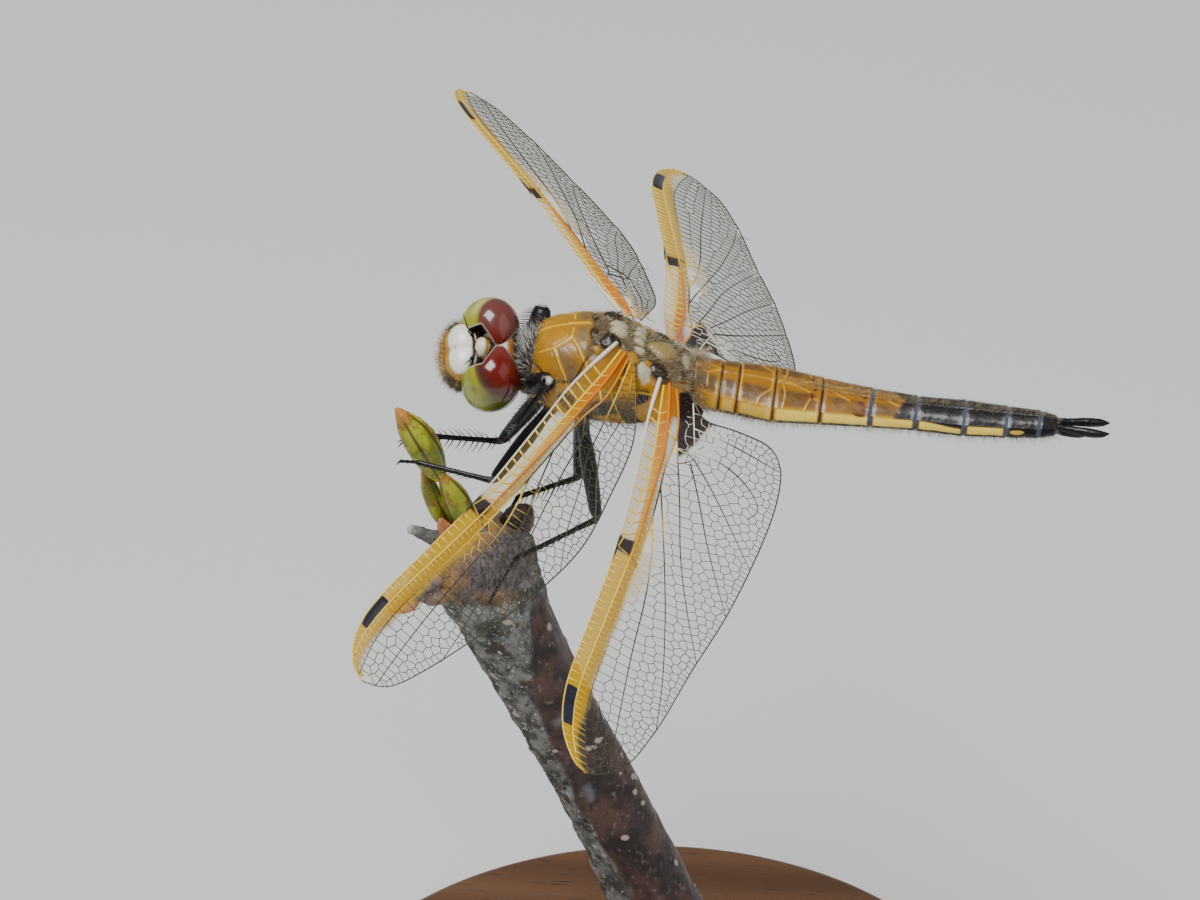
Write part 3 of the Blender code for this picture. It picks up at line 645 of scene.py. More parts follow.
FORE_WING = {  # curves by span and chord from the hinge, which is given from the thorax
    "hinge": (-2.0, 2.64, 3.45),
    "costa": ((-0.9, 0.0), (2, -0.2), (5, -0.25), (9, 0.0), (17.5, 0.4), (27.5, 0.15), (31.0, 0.5),
              (33.2, 1.6), (33.9, 3.1)),
    "rear": ((33.9, 3.1), (32.6, 4.6), (29.5, 5.6), (24.5, 6.6), (19.0, 7.4), (13.5, 7.6), (8.5, 6.6),
             (4.0, 5.3), (0.8, 3.1), (-0.9, 1.8)),
    "subcosta": ((-0.9, 0.55), (2, 0.75), (5, 0.8), (9, 0.95), (13, 0.9), (16, 0.68), (17.4, 0.42)),
    "radius": ((-0.9, 0.85), (2, 1.2), (5, 1.3), (9, 1.42), (17.5, 1.3), (24, 1.0), (27.9, 0.85),
               (30.7, 1.0), (32.9, 1.5)),
    "sector": ((-0.9, 1.25), (1.7, 1.8), (3.4, 1.95), (5.5, 1.75), (9, 1.85), (13, 1.95), (17.5, 1.95),
               (24, 1.7), (28, 1.6), (31, 1.9), (33.6, 2.6)),
    "arculus": 3.0,
    "nodus": 17.4,
    "stigma": (27.9, 30.7),
    "antenodals": 16,
    "trunks": (
        ((12.5, 1.97), (15, 2.6), (18, 3.0), (24, 3.15), (29, 3.45), (33.3, 3.9)),
        ((9.5, 1.9), (12, 2.6), (15, 3.5), (20, 4.5), (25, 5.5), (28.3, 5.95)),
        ((5.3, 1.8), (7, 2.7), (10, 3.3), (14, 4.2), (19, 5.5), (23, 6.85)),
        ((-0.6, 1.6), (3, 2.6), (6.3, 3.4), (7.6, 3.7), (10, 4.8), (13.5, 6.2), (16, 7.55)),
        ((6.6, 4.2), (8.5, 5.3), (10.3, 6.6), (11.3, 7.3)),
        ((0.2, 2.3), (3, 3.6), (6.6, 4.2)),
        ((6.3, 2.45), (6.5, 3.4), (6.6, 4.2)),
        ((7.5, 2.85), (7.1, 3.5), (6.6, 4.2)),
    ),
    "patch": None,
}
HIND_WING = {
    "hinge": (1.5, 3.34, 1.5),
    "costa": ((-0.9, 0.0), (3, 0.0), (7, 0.25), (15.1, 0.5), (22, 0.2), (28.2, -0.05), (31.8, 0.55),
              (34.0, 1.9), (34.35, 2.8)),
    "rear": ((34.35, 2.8), (34.1, 3.7), (32.0, 5.5), (27.5, 6.8), (22.0, 7.8), (16.2, 9.0), (10.5, 9.8),
             (5.2, 10.2), (1.6, 9.9), (-0.1, 8.7), (0.0, 6.3), (0.5, 3.8), (-0.9, 2.4)),
    "subcosta": ((-0.9, 0.42), (2.3, 0.78), (5.2, 1.08), (7, 1.15), (11, 1.08), (13.5, 0.85), (15, 0.55)),
    "radius": ((-0.9, 0.72), (2, 1.3), (4.85, 1.65), (7, 1.7), (12, 1.72), (15.1, 1.6), (22, 1.15),
               (28.2, 0.8), (31.5, 1.2), (33.4, 1.9)),
    "sector": ((-0.9, 1.35), (1.5, 2.05), (3.5, 2.3), (6, 2.15), (9, 2.25), (12, 2.3), (15.1, 2.25),
               (22, 1.9), (28, 1.7), (31.5, 2.2), (34.2, 3.0)),
    "arculus": 3.1,
    "nodus": 15.0,
    "stigma": (28.2, 31.4),
    "antenodals": 12,
    "trunks": (
        ((11, 2.3), (14, 2.95), (18, 3.4), (23, 3.6), (28, 3.95), (33.6, 4.4)),
        ((8, 2.2), (11, 3.0), (15, 4.1), (19, 5.1), (24, 6.1), (28.3, 6.65)),
        ((3.5, 2.35), (6, 3.1), (9, 3.9), (13, 4.9), (17, 6.3), (21, 8.0)),
        ((4.9, 3.7), (7.5, 4.9), (11, 6.4), (14, 7.9), (16, 9.0)),
        ((4.3, 3.9), (6, 5.6), (8.5, 7.7), (11, 9.7)),
        ((4.2, 2.6), (4.3, 3.3), (4.3, 3.9)),
        ((5.3, 2.95), (4.9, 3.4), (4.3, 3.9)),
        ((-0.3, 2.7), (2, 3.3), (4.3, 3.9)),
        ((3.6, 3.8), (3.4, 6.0), (4.2, 8.0), (5.6, 9.1), (6.9, 8.6)),
        ((1.8, 3.3), (1.5, 6.0), (1.6, 9.8)),
    ),
    "patch": (1.7, 0.2, 4.75, -0.36),  # root chord and slope of the dark patch's front and rear borders
}
WINGS = (  # node, plan, side, forward sweep, droop and pitch in degrees
    ("wing_fore_left", FORE_WING, -1, 27.3, 9.2, 26.8),
    ("wing_fore_right", FORE_WING, 1, 24.5, 6.8, 23.5),
    ("wing_hind_left", HIND_WING, -1, 6.8, 9.5, 21.4),
    ("wing_hind_right", HIND_WING, 1, 3.3, 13.7, 19.9),
)
WING_SEED = 11
WING_LENGTH = 34
CELL_AT_MARGIN, CELL_GROWTH, CELL_LARGEST = 0.50, 0.085, 0.92
CELL_TRIES, CELL_ROUNDS, CELL_REACH = 9000, 4, 1.6
SEED_ASIDE, SEED_CLEAR, SEED_APART, CELL_APART = 0.45, 0.30, 0.42, 0.80  # shares of the cell's size
TRUNK_STEP, VEIN_STEP = 0.15, 0.3
PLEAT = (0.07, -0.15, 0.11, -0.07)
RIDGE = 0.07
TIP_SINK, TIP_FLATTENING = 0.35, 0.45
STRIP_STEP, STRIP_ROWS = 0.22, 4
STIGMA_ROWS, STIGMA_COLUMNS = 24, 9


def evenly(path, gap):
    """Points along a path, about a gap apart."""
    steps = np.linalg.norm(np.diff(path, axis=0), axis=1)
    reach = np.concatenate(((0,), np.cumsum(steps)))
    count = max(2, round(reach[-1] / gap) + 1)
    marks = np.linspace(0, reach[-1], count)
    return np.column_stack([np.interp(marks, reach, path[:, k]) for k in range(path.shape[1])])


def inside(points, polygon):
    """Whether each flat point lies in a polygon."""
    x, y = points[:, :1], points[:, 1:2]
    x0, y0 = polygon[:, 0], polygon[:, 1]
    x1, y1 = np.roll(x0, -1), np.roll(y0, -1)
    crossing = ((y0 > y) != (y1 > y)) & (x < (x1 - x0) * (y - y0) / (y1 - y0 + 1e-12) + x0)
    return crossing.sum(axis=1) % 2 == 1


def apart_from(points, path):
    """Each point's distance to the nearest of a path's points."""
    return np.sqrt(((points[:, None] - path[None]) ** 2).sum(axis=2)).min(axis=1)


def divide(seeds):
    """The triangles over the seeds and their circumcentres, which are the corners of the cells."""
    corners, _, triangles, *_ = delaunay_2d_cdt([Vector(seed) for seed in seeds.tolist()], [], [], 0, 1e-7)
    corners = np.array([tuple(corner) for corner in corners])
    triangles = np.array([triangle for triangle in triangles if len(triangle) == 3])
    a, b, c = (corners[triangles[:, k]] for k in range(3))
    b, c = b - a, c - a
    twice = 2 * (b[:, 0] * c[:, 1] - b[:, 1] * c[:, 0])
    bb, cc = (b ** 2).sum(axis=1), (c ** 2).sum(axis=1)
    offset = np.column_stack((c[:, 1] * bb - b[:, 1] * cc, b[:, 0] * cc - c[:, 0] * bb))
    return triangles, a + offset / twice[:, None]


def cell_rings(seeds, triangles, centres, wanted):
    """The corners of each wanted seed's cell, in order round it, as numbers of triangles."""
    around = {seed: [] for seed in wanted}
    for number, triangle in enumerate(triangles):
        for seed in triangle:
            if seed in around:
                around[seed].append(number)
    rings = {}
    for seed, numbers in around.items():
        away = centres[numbers] - seeds[seed]
        if len(numbers) > 2 and np.abs(away).max() < CELL_REACH:
            rings[seed] = [numbers[k] for k in np.argsort(np.arctan2(away[:, 1], away[:, 0]))]
    return rings


def strut(path, radii, normals, sides=6):
    """Points and faces of a vein along a path, given its radius and the way up at each point."""
    path, normals = np.asarray(path, float), np.asarray(normals, float)
    run = unit(np.gradient(path, axis=0))
    across = unit(np.cross(run, normals))
    deep = np.cross(across, run)
    turns = np.arange(sides) * math.tau / sides
    ring = across[:, None] * np.cos(turns)[None, :, None] + deep[:, None] * np.sin(turns)[None, :, None]
    points = path[:, None] + ring * np.asarray(radii, float)[:, None, None]
    return points.reshape(-1, 3), loft_faces(len(path), sides)


class Bundle:
    """Many small shapes gathered into one mesh, with masks."""

    def __init__(self):
        self.points, self.faces, self.masks, self.count = [], [], {}, 0

    def add(self, points, faces, **masks):
        self.faces += [tuple(corner + self.count for corner in face) for face in faces]
        self.points.append(points)
        for mask in set(masks) | set(self.masks):
            before = self.masks.setdefault(mask, [np.zeros(self.count)] if self.count else [])
            before.append(np.broadcast_to(np.asarray(masks.get(mask, 0.0), float), len(points)))
        self.count += len(points)

    def build(self, name, material, place=np.asarray):
        masks = {mask: np.concatenate(values) for mask, values in self.masks.items()}
        return build(name, place(np.vstack(self.points)), self.faces, material, masks)


def largest(tree, first, *others):
    """The largest of values."""
    for other in others:
        first = calc(tree, "MAXIMUM", first, other)
    return first


film, tree, shader, where = new_material("wing_film", roughness=0.12, specular_ior_level=0.3)
span, depth, chord = (attribute(tree, word) for word in ("span", "depth", "chord"))
nodus, patch_low, patch_high = (
    attribute(tree, word) for word in ("past_nodus", "patch_front", "patch_rear"))
soft = scaled(tree, grain(tree, where, 420.0, 3.0), 0.5, -0.25)
near_tip = times(tree, largest(tree, plus(tree, span, -29.0), 0.0), 0.22)
band = edge(tree, plus(tree, depth, soft, near_tip), 2.1, 1.45)
behind = edge(tree, depth, 0.85, 1.15)
base_share = times(tree, edge(tree, plus(tree, span, soft), 9.0, 1.5), behind)
tint = plus(
    tree, times(tree, behind, 0.72), 0.16, times(tree, edge(tree, nodus, -3.0, 0.8), 0.72),
    times(tree, base_share, 0.32), times(tree, edge(tree, span, 5.0, 1.5), 0.50),
)
tint = times(tree, calc(tree, "MINIMUM", tint, 0.93), band)
nodus_glow = edge(tree, calc(tree, "ABSOLUTE", plus(tree, nodus, -1.2)), 4.2, 1.0)
glow = times(tree, nodus_glow, edge(tree, plus(tree, depth, soft), 3.3, 1.7))
root_glow = times(tree, edge(tree, span, 4.2, 0.6), edge(tree, chord, 5.2, 2.6))
at_spot = calc(tree, "ABSOLUTE", plus(tree, nodus, scaled(tree, soft, 1.2, 0.45)))
spot_depth = edge(tree, plus(tree, depth, times(tree, soft, 0.5)), 1.25, 0.95)
spot = times(tree, edge(tree, at_spot, 0.95, 0.6), spot_depth)
patch_front = edge(tree, plus(tree, patch_low, times(tree, soft, 0.6)), -0.12, 0.12)
patch_rear = edge(tree, plus(tree, patch_high, times(tree, soft, 1.6)), -0.2, 0.25)
stain = largest(tree, spot, times(tree, patch_front, patch_rear))
sheen = add_node(tree, "LayerWeight", {"Blend": 0.25}).outputs["Fresnel"]
alpha = largest(
    tree, tint, times(tree, glow, 0.38), times(tree, root_glow, 0.62),
    scaled(tree, sheen, 0.30, 0.03), times(tree, stain, 0.96),
)
front_gold = blend(tree, edge(tree, span, 8.0, 2.5), (0.58, 0.34, 0.0), (0.50, 0.22, 0.0))
rear_gold = blend(tree, edge(tree, band, 0.4, 1.0), (0.50, 0.34, 0.0), (0.52, 0.27, 0.0))
colour = blend(tree, band, (0.13, 0.13, 0.08), blend(tree, behind, front_gold, rear_gold))
colour = blend(tree, times(tree, base_share, band), colour, (0.54, 0.14, 0.0))
beyond_band = calc(tree, "SUBTRACT", 1.0, band)
colour = blend(tree, times(tree, largest(tree, glow, root_glow), beyond_band), colour, (0.62, 0.27, 0.004))
colour = blend(tree, stain, colour, (0.016, 0.007, 0.005))
film_grain = bump(tree, grain(tree, where, 2600.0, 2.0), 0.01)
connect(shader, Base_Color=colour, Alpha=alpha, Normal=film_grain)

vein_finish, tree, shader, where = new_material("wing_veins", roughness=0.32, coat_weight=0.3)
broad = grain(tree, where, 900.0)
colour = painted(
    tree, blend(tree, grain(tree, where, 1500.0), (0.020, 0.018, 0.008), (0.060, 0.050, 0.016)),
    ("gold", broad, (0.88, 0.55, 0.03), (0.98, 0.74, 0.14)),
    ("orange", broad, (0.66, 0.15, 0.0), (0.80, 0.24, 0.002)),
    ("cream", grain(tree, where, 700.0), (0.78, 0.70, 0.50), (0.92, 0.88, 0.74)),
    ("spot", (0.012, 0.006, 0.004)),
)
connect(shader, Base_Color=colour, Normal=bump(tree, grain(tree, where, 5200.0, 2.0), 0.012))

stigma_finish, tree, shader, where = new_material("wing_stigma", roughness=0.3, coat_weight=0.4)
colour = blend(tree, grain(tree, where, 1100.0, 3.0), (0.006, 0.007, 0.012), (0.030, 0.032, 0.048))
connect(shader, Base_Color=colour, Normal=bump(tree, grain(tree, where, 3600.0, 3.0), 0.02))


def wing_plan(plan, seed):
    """The flat layout of a wing: its curves, cells and the struts between them, by span and chord."""
    rng = np.random.default_rng(seed)
    curve = {word: smooth_path(plan[word], 8) for word in ("costa", "rear", "subcosta", "radius", "sector")}

    def at(word, s):
        line = curve[word]
        return np.interp(s, line[:, 0], line[:, 1])

    domain = np.vstack((curve["sector"], curve["rear"][curve["rear"][:, 0] < curve["sector"][-1, 0]]))
    margin = np.vstack((curve["costa"][-6:], curve["rear"]))
    rear_line = evenly(curve["rear"], 0.2)

    def cell_size(points):
        return np.clip(CELL_AT_MARGIN + CELL_GROWTH * apart_from(points, rear_line), 0, CELL_LARGEST)

    trunks = [evenly(smooth_path(trunk, 8), TRUNK_STEP) for trunk in plan["trunks"]]
    lines = trunks + [evenly(curve["sector"], TRUNK_STEP), rear_line]
    seeds = []
    for number, line in enumerate(lines):
        others = np.vstack([other for k, other in enumerate(lines) if k != number])
        place = 0.0
        reach = np.concatenate(((0,), np.cumsum(np.linalg.norm(np.diff(line, axis=0), axis=1))))
        while place < reach[-1]:
            k = np.searchsorted(reach, place)
            k = min(max(k, 1), len(line) - 2)
            size = float(cell_size(line[k:k + 1])[0])
            run = line[k + 1] - line[k - 1]
            square = np.array((-run[1], run[0])) / np.linalg.norm(run)
            pair = np.array([line[k] + square * SEED_ASIDE * size, line[k] - square * SEED_ASIDE * size])
            if apart_from(pair, others).min() > SEED_CLEAR * size:
                fixed = np.array(seeds) if seeds else np.full((1, 2), 99.0)
                if apart_from(pair, fixed).min() > SEED_APART * size:
                    seeds.extend(pair)
            place += size * rng.uniform(0.86, 1.02)
    fixed = np.array(seeds)
    free = []
    low, high = domain.min(axis=0), domain.max(axis=0)
    tries = rng.uniform(low, high, (CELL_TRIES, 2))
    tries = tries[inside(tries, domain)]
    for point, size in zip(tries, cell_size(tries)):
        every = np.vstack((fixed, free)) if free else fixed
        if np.sqrt(((every - point) ** 2).sum(axis=1)).min() > CELL_APART * size:
            free.append(point)
    for _ in range(CELL_ROUNDS):
        every = np.vstack((fixed, free))
        triangles, centres = divide(every)
        rings = cell_rings(every, triangles, centres, range(len(fixed), len(every)))
        for number, ring in rings.items():
            free[number - len(fixed)] = centres[ring].mean(axis=0)
    every = np.vstack((fixed, free))
    triangles, centres = divide(every)
    within = inside(every, domain)
    rings = cell_rings(every, triangles, centres, np.flatnonzero(within))
    shared = {}
    for number, triangle in enumerate(triangles):
        for a, b in zip(triangle, np.roll(triangle, -1)):
            shared.setdefault((min(a, b), max(a, b)), []).append(number)
    struts = []
    trunk_points = np.vstack(lines)
    for (a, b), pair in shared.items():
        if len(pair) == 2 and within[a] and within[b]:
            ends = centres[pair]
            thirds = np.vstack((
                ends[0] * 0.7 + ends[1] * 0.3, ends.mean(axis=0), ends[0] * 0.3 + ends[1] * 0.7))
            long_enough = 0.08 < np.linalg.norm(ends[0] - ends[1]) < 2.2
            if (long_enough and apart_from(thirds, trunk_points).max() > 0.14
                    and inside(thirds, domain).all()):
                struts.append(ends)
    return {"at": at, "curve": curve, "margin": margin, "trunks": trunks, "struts": struts,
            "cells": (centres, list(rings.values())), "rng": rng}


def make_wing(node, plan, side, sweep, droop, pitch, seed):
    """The film, the veins and the dark cell of one wing."""
    flat = wing_plan(plan, seed)
    at, rng = flat["at"], flat["rng"]
    sweep, droop, pitch = (math.radians(angle) for angle in (sweep, droop, pitch))
    span_way = Vector((
        -math.cos(droop) * math.sin(sweep), side * math.cos(droop) * math.cos(sweep), -math.sin(droop)))
    level_chord = (Vector((1, 0, 0)) - span_way * span_way.x).normalized()
    chord_way = level_chord * math.cos(pitch) - level_chord.cross(span_way) * side * math.sin(pitch)
    normal = chord_way.cross(span_way) * side
    hinge = np.array(plan["hinge"]) * (1, side, 1)
    trunk_lines = np.vstack(flat["trunks"])
    trunk_sign = np.concatenate([
        np.full(len(line), 1 if k % 2 else -1) for k, line in enumerate(flat["trunks"])])

    def lift(s, t):
        """Height over the wing's own plane: pleats along the front, low ridges behind and a sinking tip."""
        s, t = np.broadcast_arrays(np.asarray(s, float), np.asarray(t, float))
        edges = [at(word, s) for word in ("costa", "subcosta", "radius", "sector")]
        past = rise(s, plan["nodus"] - 1.0, plan["nodus"] + 0.5)
        edges[1] = edges[1] * (1 - past) + (edges[0] * 0.55 + edges[2] * 0.45) * past
        heights = [PLEAT[0], PLEAT[1] * (1 - past) + 0.06 * past, PLEAT[2], PLEAT[3]]
        height = np.full(s.shape, heights[0])
        for k in range(3):
            share = np.clip((t - edges[k]) / np.maximum(edges[k + 1] - edges[k], 0.05), 0, 1)
            height = np.where(t > edges[k], heights[k] * (1 - share) + heights[k + 1] * share, height)
        away = t - edges[3]
        flat_points = np.column_stack((s.ravel(), t.ravel()))
        gap = ((flat_points[:, None] - trunk_lines[None]) ** 2).sum(axis=2)
        near = gap.argmin(axis=1)
        ridge = (trunk_sign[near] * RIDGE * np.exp(-gap.min(axis=1) / 0.16)).reshape(s.shape)
        rear_height = PLEAT[3] * np.exp(-away / 0.5) + ridge * np.clip(away / 0.6, 0, 1)
        height = np.where(away > 0, rear_height, height)
        return height * (1 - TIP_FLATTENING * s / WING_LENGTH) - TIP_SINK * (s / WING_LENGTH) ** 2

    def placed(s, t, over=0.0):
        """World points of places on the wing, or over it."""
        s, t = np.asarray(s, float), np.asarray(t, float)
        h = lift(s, t) + over
        local = (hinge + s[..., None] * np.array(span_way) + t[..., None] * np.array(chord_way)
                 + h[..., None] * np.array(normal))
        return in_body(local.reshape(-1, 3))

    up = body_turn @ np.array(normal)
    nodus = plan["nodus"]
    tip = flat["curve"]["costa"][-1, 0] - 0.02
    centres, rings = flat["cells"]
    used = sorted({corner for ring in rings for corner in ring})
    number = {corner: k for k, corner in enumerate(used)}
    cells = centres[used]
    sheet = Bundle()

    def add_sheet(s, t, faces):
        front = at("costa", s)
        patch = plan["patch"]
        masks = {"span": s, "chord": t, "depth": t - front, "past_nodus": s - nodus}
        if patch:
            masks["patch_front"] = np.minimum(t - patch[0] - patch[1] * s, 5.4 - s)
            masks["patch_rear"] = patch[2] + patch[3] * s - t
        else:
            masks["patch_front"] = masks["patch_rear"] = np.full(len(s), -5.0)
        sheet.add(placed(s, t), faces, **masks)

    add_sheet(cells[:, 0], cells[:, 1], [tuple(number[c] for c in ring) for ring in rings])
    strips = (
        ("costa", "subcosta", -0.9, nodus), ("subcosta", "radius", -0.9, nodus),
        ("costa", "radius", nodus, tip), ("radius", "sector", -0.9, tip),
    )
    for front, rear, start, stop in strips:
        s = np.linspace(start, stop, round((stop - start) / STRIP_STEP))
        low = np.maximum(at(front, s), at("costa", s))
        high = np.maximum(at(rear, s), low + 0.01)
        t = low[:, None] + (high - low)[:, None] * np.linspace(0, 1, STRIP_ROWS)
        faces = loft_faces(len(s), STRIP_ROWS, closed=False, caps=False)
        add_sheet(np.repeat(s, STRIP_ROWS), t.ravel(), faces)
    membrane = sheet.build(node + "_film", film)
    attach(membrane, "root")
    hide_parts(node)

    frame_work = Bundle()

    def add_vein(path, girth, sides=6, **masks):
        """A vein along a flat path, of one radius or of several evenly along it."""
        points = placed(path[:, 0], path[:, 1])
        shares = np.linspace(0, 1, len(points))
        radii = np.interp(shares, np.linspace(0, 1, np.size(girth)), np.atleast_1d(girth))
        solid, faces = strut(points, radii, np.broadcast_to(up, points.shape), sides)
        masks = {mask: np.repeat(np.broadcast_to(value, len(points)), sides)
                 for mask, value in masks.items()}
        frame_work.add(solid, faces, **masks)

    costa, subcosta, radius, sector = (
        evenly(flat["curve"][word], VEIN_STEP) for word in ("costa", "subcosta", "radius", "sector"))
    s = costa[:, 0]
    girth = np.interp(s, (-0.9, 0.6, 3.0, 6.0, 34.0), (0.14, 0.15, 0.10, 0.066, 0.045))
    add_vein(costa, girth, sides=10, cream=rise(s, nodus, nodus - 1.5),
             gold=rise(s, nodus + 0.5, nodus + 2),
             spot=rise(np.abs(s - nodus + 0.3), 1.0, 0.5) * 0.9)
    add_vein(subcosta, (0.09, 0.055), sides=8, gold=1.0)
    orange = rise(radius[:, 0], nodus + 3.5, nodus - 4) * 0.95
    add_vein(radius, (0.095, 0.072, 0.048), sides=8, orange=orange, gold=1.0)
    s = sector[:, 0]
    gold = np.maximum(rise(s, 7.5, 4), rise(s, tip - 4, nodus) * rise(s, nodus - 5, nodus - 2))
    add_vein(sector, (0.075, 0.045, 0.03), gold=gold, orange=rise(s, 9, 3) * 0.8)
    add_vein(evenly(flat["margin"], VEIN_STEP), (0.040, 0.055))
    for trunk in flat["trunks"]:
        path = evenly(trunk, VEIN_STEP)
        s, t = path.T
        share = np.maximum(rise(s, 6.0, 4.0), rise(np.abs(s - nodus + 1), 4.0, 2.0))
        share = share * rise(t - at("sector", s), 1.5, 0.4)
        pale = rise(s, 4.6, 3.4) * rise(t, 6.5, 4.5) if plan["patch"] else 0.0
        add_vein(path, (0.058, 0.032), gold=share * 0.9, cream=pale)
    for ends in flat["struts"]:
        s, t = ends.mean(axis=0)
        glow = rise(t - at("sector", s), 1.9, 0.7) * rise(abs(s - nodus + 0.5), 6.0, 3.0)
        pale = stain = 0.0
        if plan["patch"]:
            high, fall = plan["patch"][2:]
            stain = float(t < high - 1.5 - 0.5 * s or rng.uniform() < 0.45)
            pale = float(s < 4.4 and t < high + 1.4 + fall * s) * (1 - stain)
            stain = stain * float(s < 5.4 and t < high + fall * s)
        add_vein(ends, 0.029, sides=4, gold=float(glow) * 0.9, cream=pale, spot=stain)

    def rungs(front, rear, start, stop, gap, girth, **masks):
        """A ladder of short veins between two long ones."""
        s = start
        while s < stop:
            low, high = float(max(at(front, s), at("costa", s))), float(at(rear, s))
            if high - low > 0.12:
                t = np.linspace(low, high, 3)
                add_vein(np.column_stack((np.full(3, s), t)), girth, sides=5, **masks)
            s += gap * rng.uniform(0.85, 1.15)

    antenodal_gap = (nodus - 2.2) / plan["antenodals"]
    s = 1.9
    while s < nodus - 0.5:
        low, middle, high = (float(at(word, s)) for word in ("costa", "subcosta", "radius"))
        add_vein(np.array([(s, low), (s, middle), (s - 0.8 * (high - middle), high)]),
                 (0.056, 0.070, 0.058), sides=6, gold=1.0)
        s += antenodal_gap * rng.uniform(0.85, 1.15)
    stigma_start, stigma_stop = plan["stigma"]
    rungs("costa", "radius", nodus + 1.0, stigma_start - 0.3, 0.66, 0.052, gold=1.0)
    rungs("costa", "radius", stigma_stop + 0.4, tip, 0.55, 0.040, gold=0.85, orange=0.2)
    rungs("radius", "sector", plan["arculus"] + 3.0, nodus - 0.5, 0.85, 0.042, gold=0.95)
    rungs("radius", "sector", nodus, tip, 0.50, 0.036, gold=0.85)
    s = plan["arculus"]
    add_vein(np.array([(s, at("radius", s)), (s + 0.45, at("sector", s + 0.4))]), 0.07, gold=1.0)
    nodus_vein = np.array([
        (nodus - 0.05, at("costa", nodus)), (nodus + 0.35, at("radius", nodus + 0.3)),
        (nodus + 0.6, at("sector", nodus + 0.6))])
    add_vein(nodus_vein, (0.075, 0.05), gold=0.6, spot=0.5)
    veins = frame_work.build(node + "_veins", vein_finish)
    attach(veins, "root")

    s = np.linspace(stigma_start, stigma_stop, STIGMA_ROWS)
    across = np.linspace(0, 1, STIGMA_COLUMNS)
    low, high = at("costa", s), at("radius", s)
    trim = 0.5 - 0.5 * np.clip(np.minimum(s - s[0], s[-1] - s) / 0.25, 0, 1)
    t = low[:, None] + (high - low)[:, None] * (across * (1 - 0.5 * trim[:, None]) + 0.25 * trim[:, None])
    swell = (0.02 + 0.07 * np.sin(math.pi * across)[None, :]) * (1 - trim[:, None])
    top, under = (placed(np.repeat(s, STIGMA_COLUMNS), t.ravel(), way * swell.ravel()) for way in (1, -1))
    faces = loft_faces(STIGMA_ROWS, STIGMA_COLUMNS, closed=False, caps=False)
    faces += [tuple(corner + len(top) for corner in face[::-1]) for face in faces]
    stigma = build(node + "_stigma", np.vstack((top, under)), faces, stigma_finish)
    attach(stigma, "root")


for seed, (node, plan, side, sweep, droop, pitch) in enumerate(WINGS, WING_SEED):
    make_wing(node, plan, side, sweep, droop, pitch, seed)

# ------------------------ thorax
# One hard amber shell, crossed by gold seams, with a black and yellow side. Small cream, black and gold
# plates stand between the wings, where the muscles pull on the wing bases.
THORAX_STATIONS = (  # along, half width, height above and depth below
    (-6.95, 1.6, 1.7, 1.6), (-6.8, 2.1, 2.2, 2.1), (-6.35, 2.55, 2.7, 2.4), (-5.45, 2.95, 3.15, 2.7),
    (-4.2, 3.25, 3.5, 2.95), (-3.0, 3.4, 3.7, 3.05), (-1.8, 3.45, 3.65, 3.05), (-0.5, 3.45, 3.2, 2.95),
    (0.8, 3.35, 2.65, 2.7), (2.0, 3.05, 2.25, 2.35), (3.0, 2.6, 1.9, 2.0), (3.7, 2.1, 1.6, 1.7),
)
THORAX_ROWS, THORAX_COLUMNS, THORAX_ROUNDNESS = 330, 230, 2.5
BACK_RADIUS, DOT_STEP = 3.3, 0.05
PLATE_SINK, SEAM_RISE, SUTURE_DEPTH = 0.14, 0.05, 0.07
SEAM_WIDTH, SUTURE_WIDTH = 0.058, 0.085
SEAMS = (  # gold lines on the left, from the thorax; the right side mirrors them
    ((-6.8, 0.0, 2.2), (-5.6, 0.0, 2.9), (-4.6, 0.0, 3.4), (-3.4, 0.0, 3.6)),
    ((-6.55, -1.72, 1.85), (-5.65, -1.80, 2.36), (-5.10, -1.60, 2.80), (-4.58, -1.27, 3.20),
     (-4.50, -0.5, 3.36)),
    ((-5.65, -1.80, 2.36), (-5.25, -2.40, 2.0), (-4.99, -2.74, 1.66), (-4.60, -3.0, 1.07),
     (-4.35, -3.2, 0.2)),
    ((-4.58, -1.27, 3.20), (-4.05, -2.05, 2.95), (-3.65, -2.6, 2.55), (-3.2, -3.0, 1.9)),
    ((-3.7, -3.3, 0.9), (-2.0, -3.4, 0.7), (0.4, -3.3, 0.9), (1.8, -3.1, 0.6)),
    ((-1.6, -3.4, 1.0), (-0.9, -3.4, -0.6), (-0.3, -3.0, -2.0)),
)
DARK_BANDS = (  # sooty bands on the left side
    ((-2.87, -3.31, -0.92), (-1.9, -3.4, -0.80), (-1.0, -3.43, -0.40), (-0.1, -3.4, 0.35),
     (0.5, -3.3, 0.75)),
    ((-4.3, -3.2, -0.6), (-3.4, -3.2, -1.6), (-2.6, -2.9, -2.4)),
    ((-0.6, -3.4, -0.4), (0.1, -3.2, -1.5), (0.6, -2.8, -2.2)),
)
# The furrows below are painted near black: partly the sutures' own dark colour, partly painted shadow that
# falls in them.
SHADOWED_SUTURES = (  # dark furrows on the left side
    ((-6.75, -1.75, 0.95), (-6.1, -2.35, 0.75), (-5.4, -2.85, 0.60), (-4.7, -3.1, 0.72), (-4.1, -3.2, 0.9)),
    ((-4.1, -3.2, 0.9), (-3.8, -3.1, 1.5), (-3.55, -2.9, 2.2), (-3.3, -2.6, 2.6)),
    ((-3.15, -0.35, 3.6), (-3.35, -0.85, 3.55), (-3.2, -1.3, 3.4), (-2.95, -1.7, 3.2)),
    ((-3.9, -3.3, -0.2), (-3.3, -3.3, -1.4), (-2.9, -3.0, -2.3)),
    ((-0.9, -3.45, -0.1), (-0.4, -3.3, -1.2), (-0.1, -3.0, -2.1)),
)
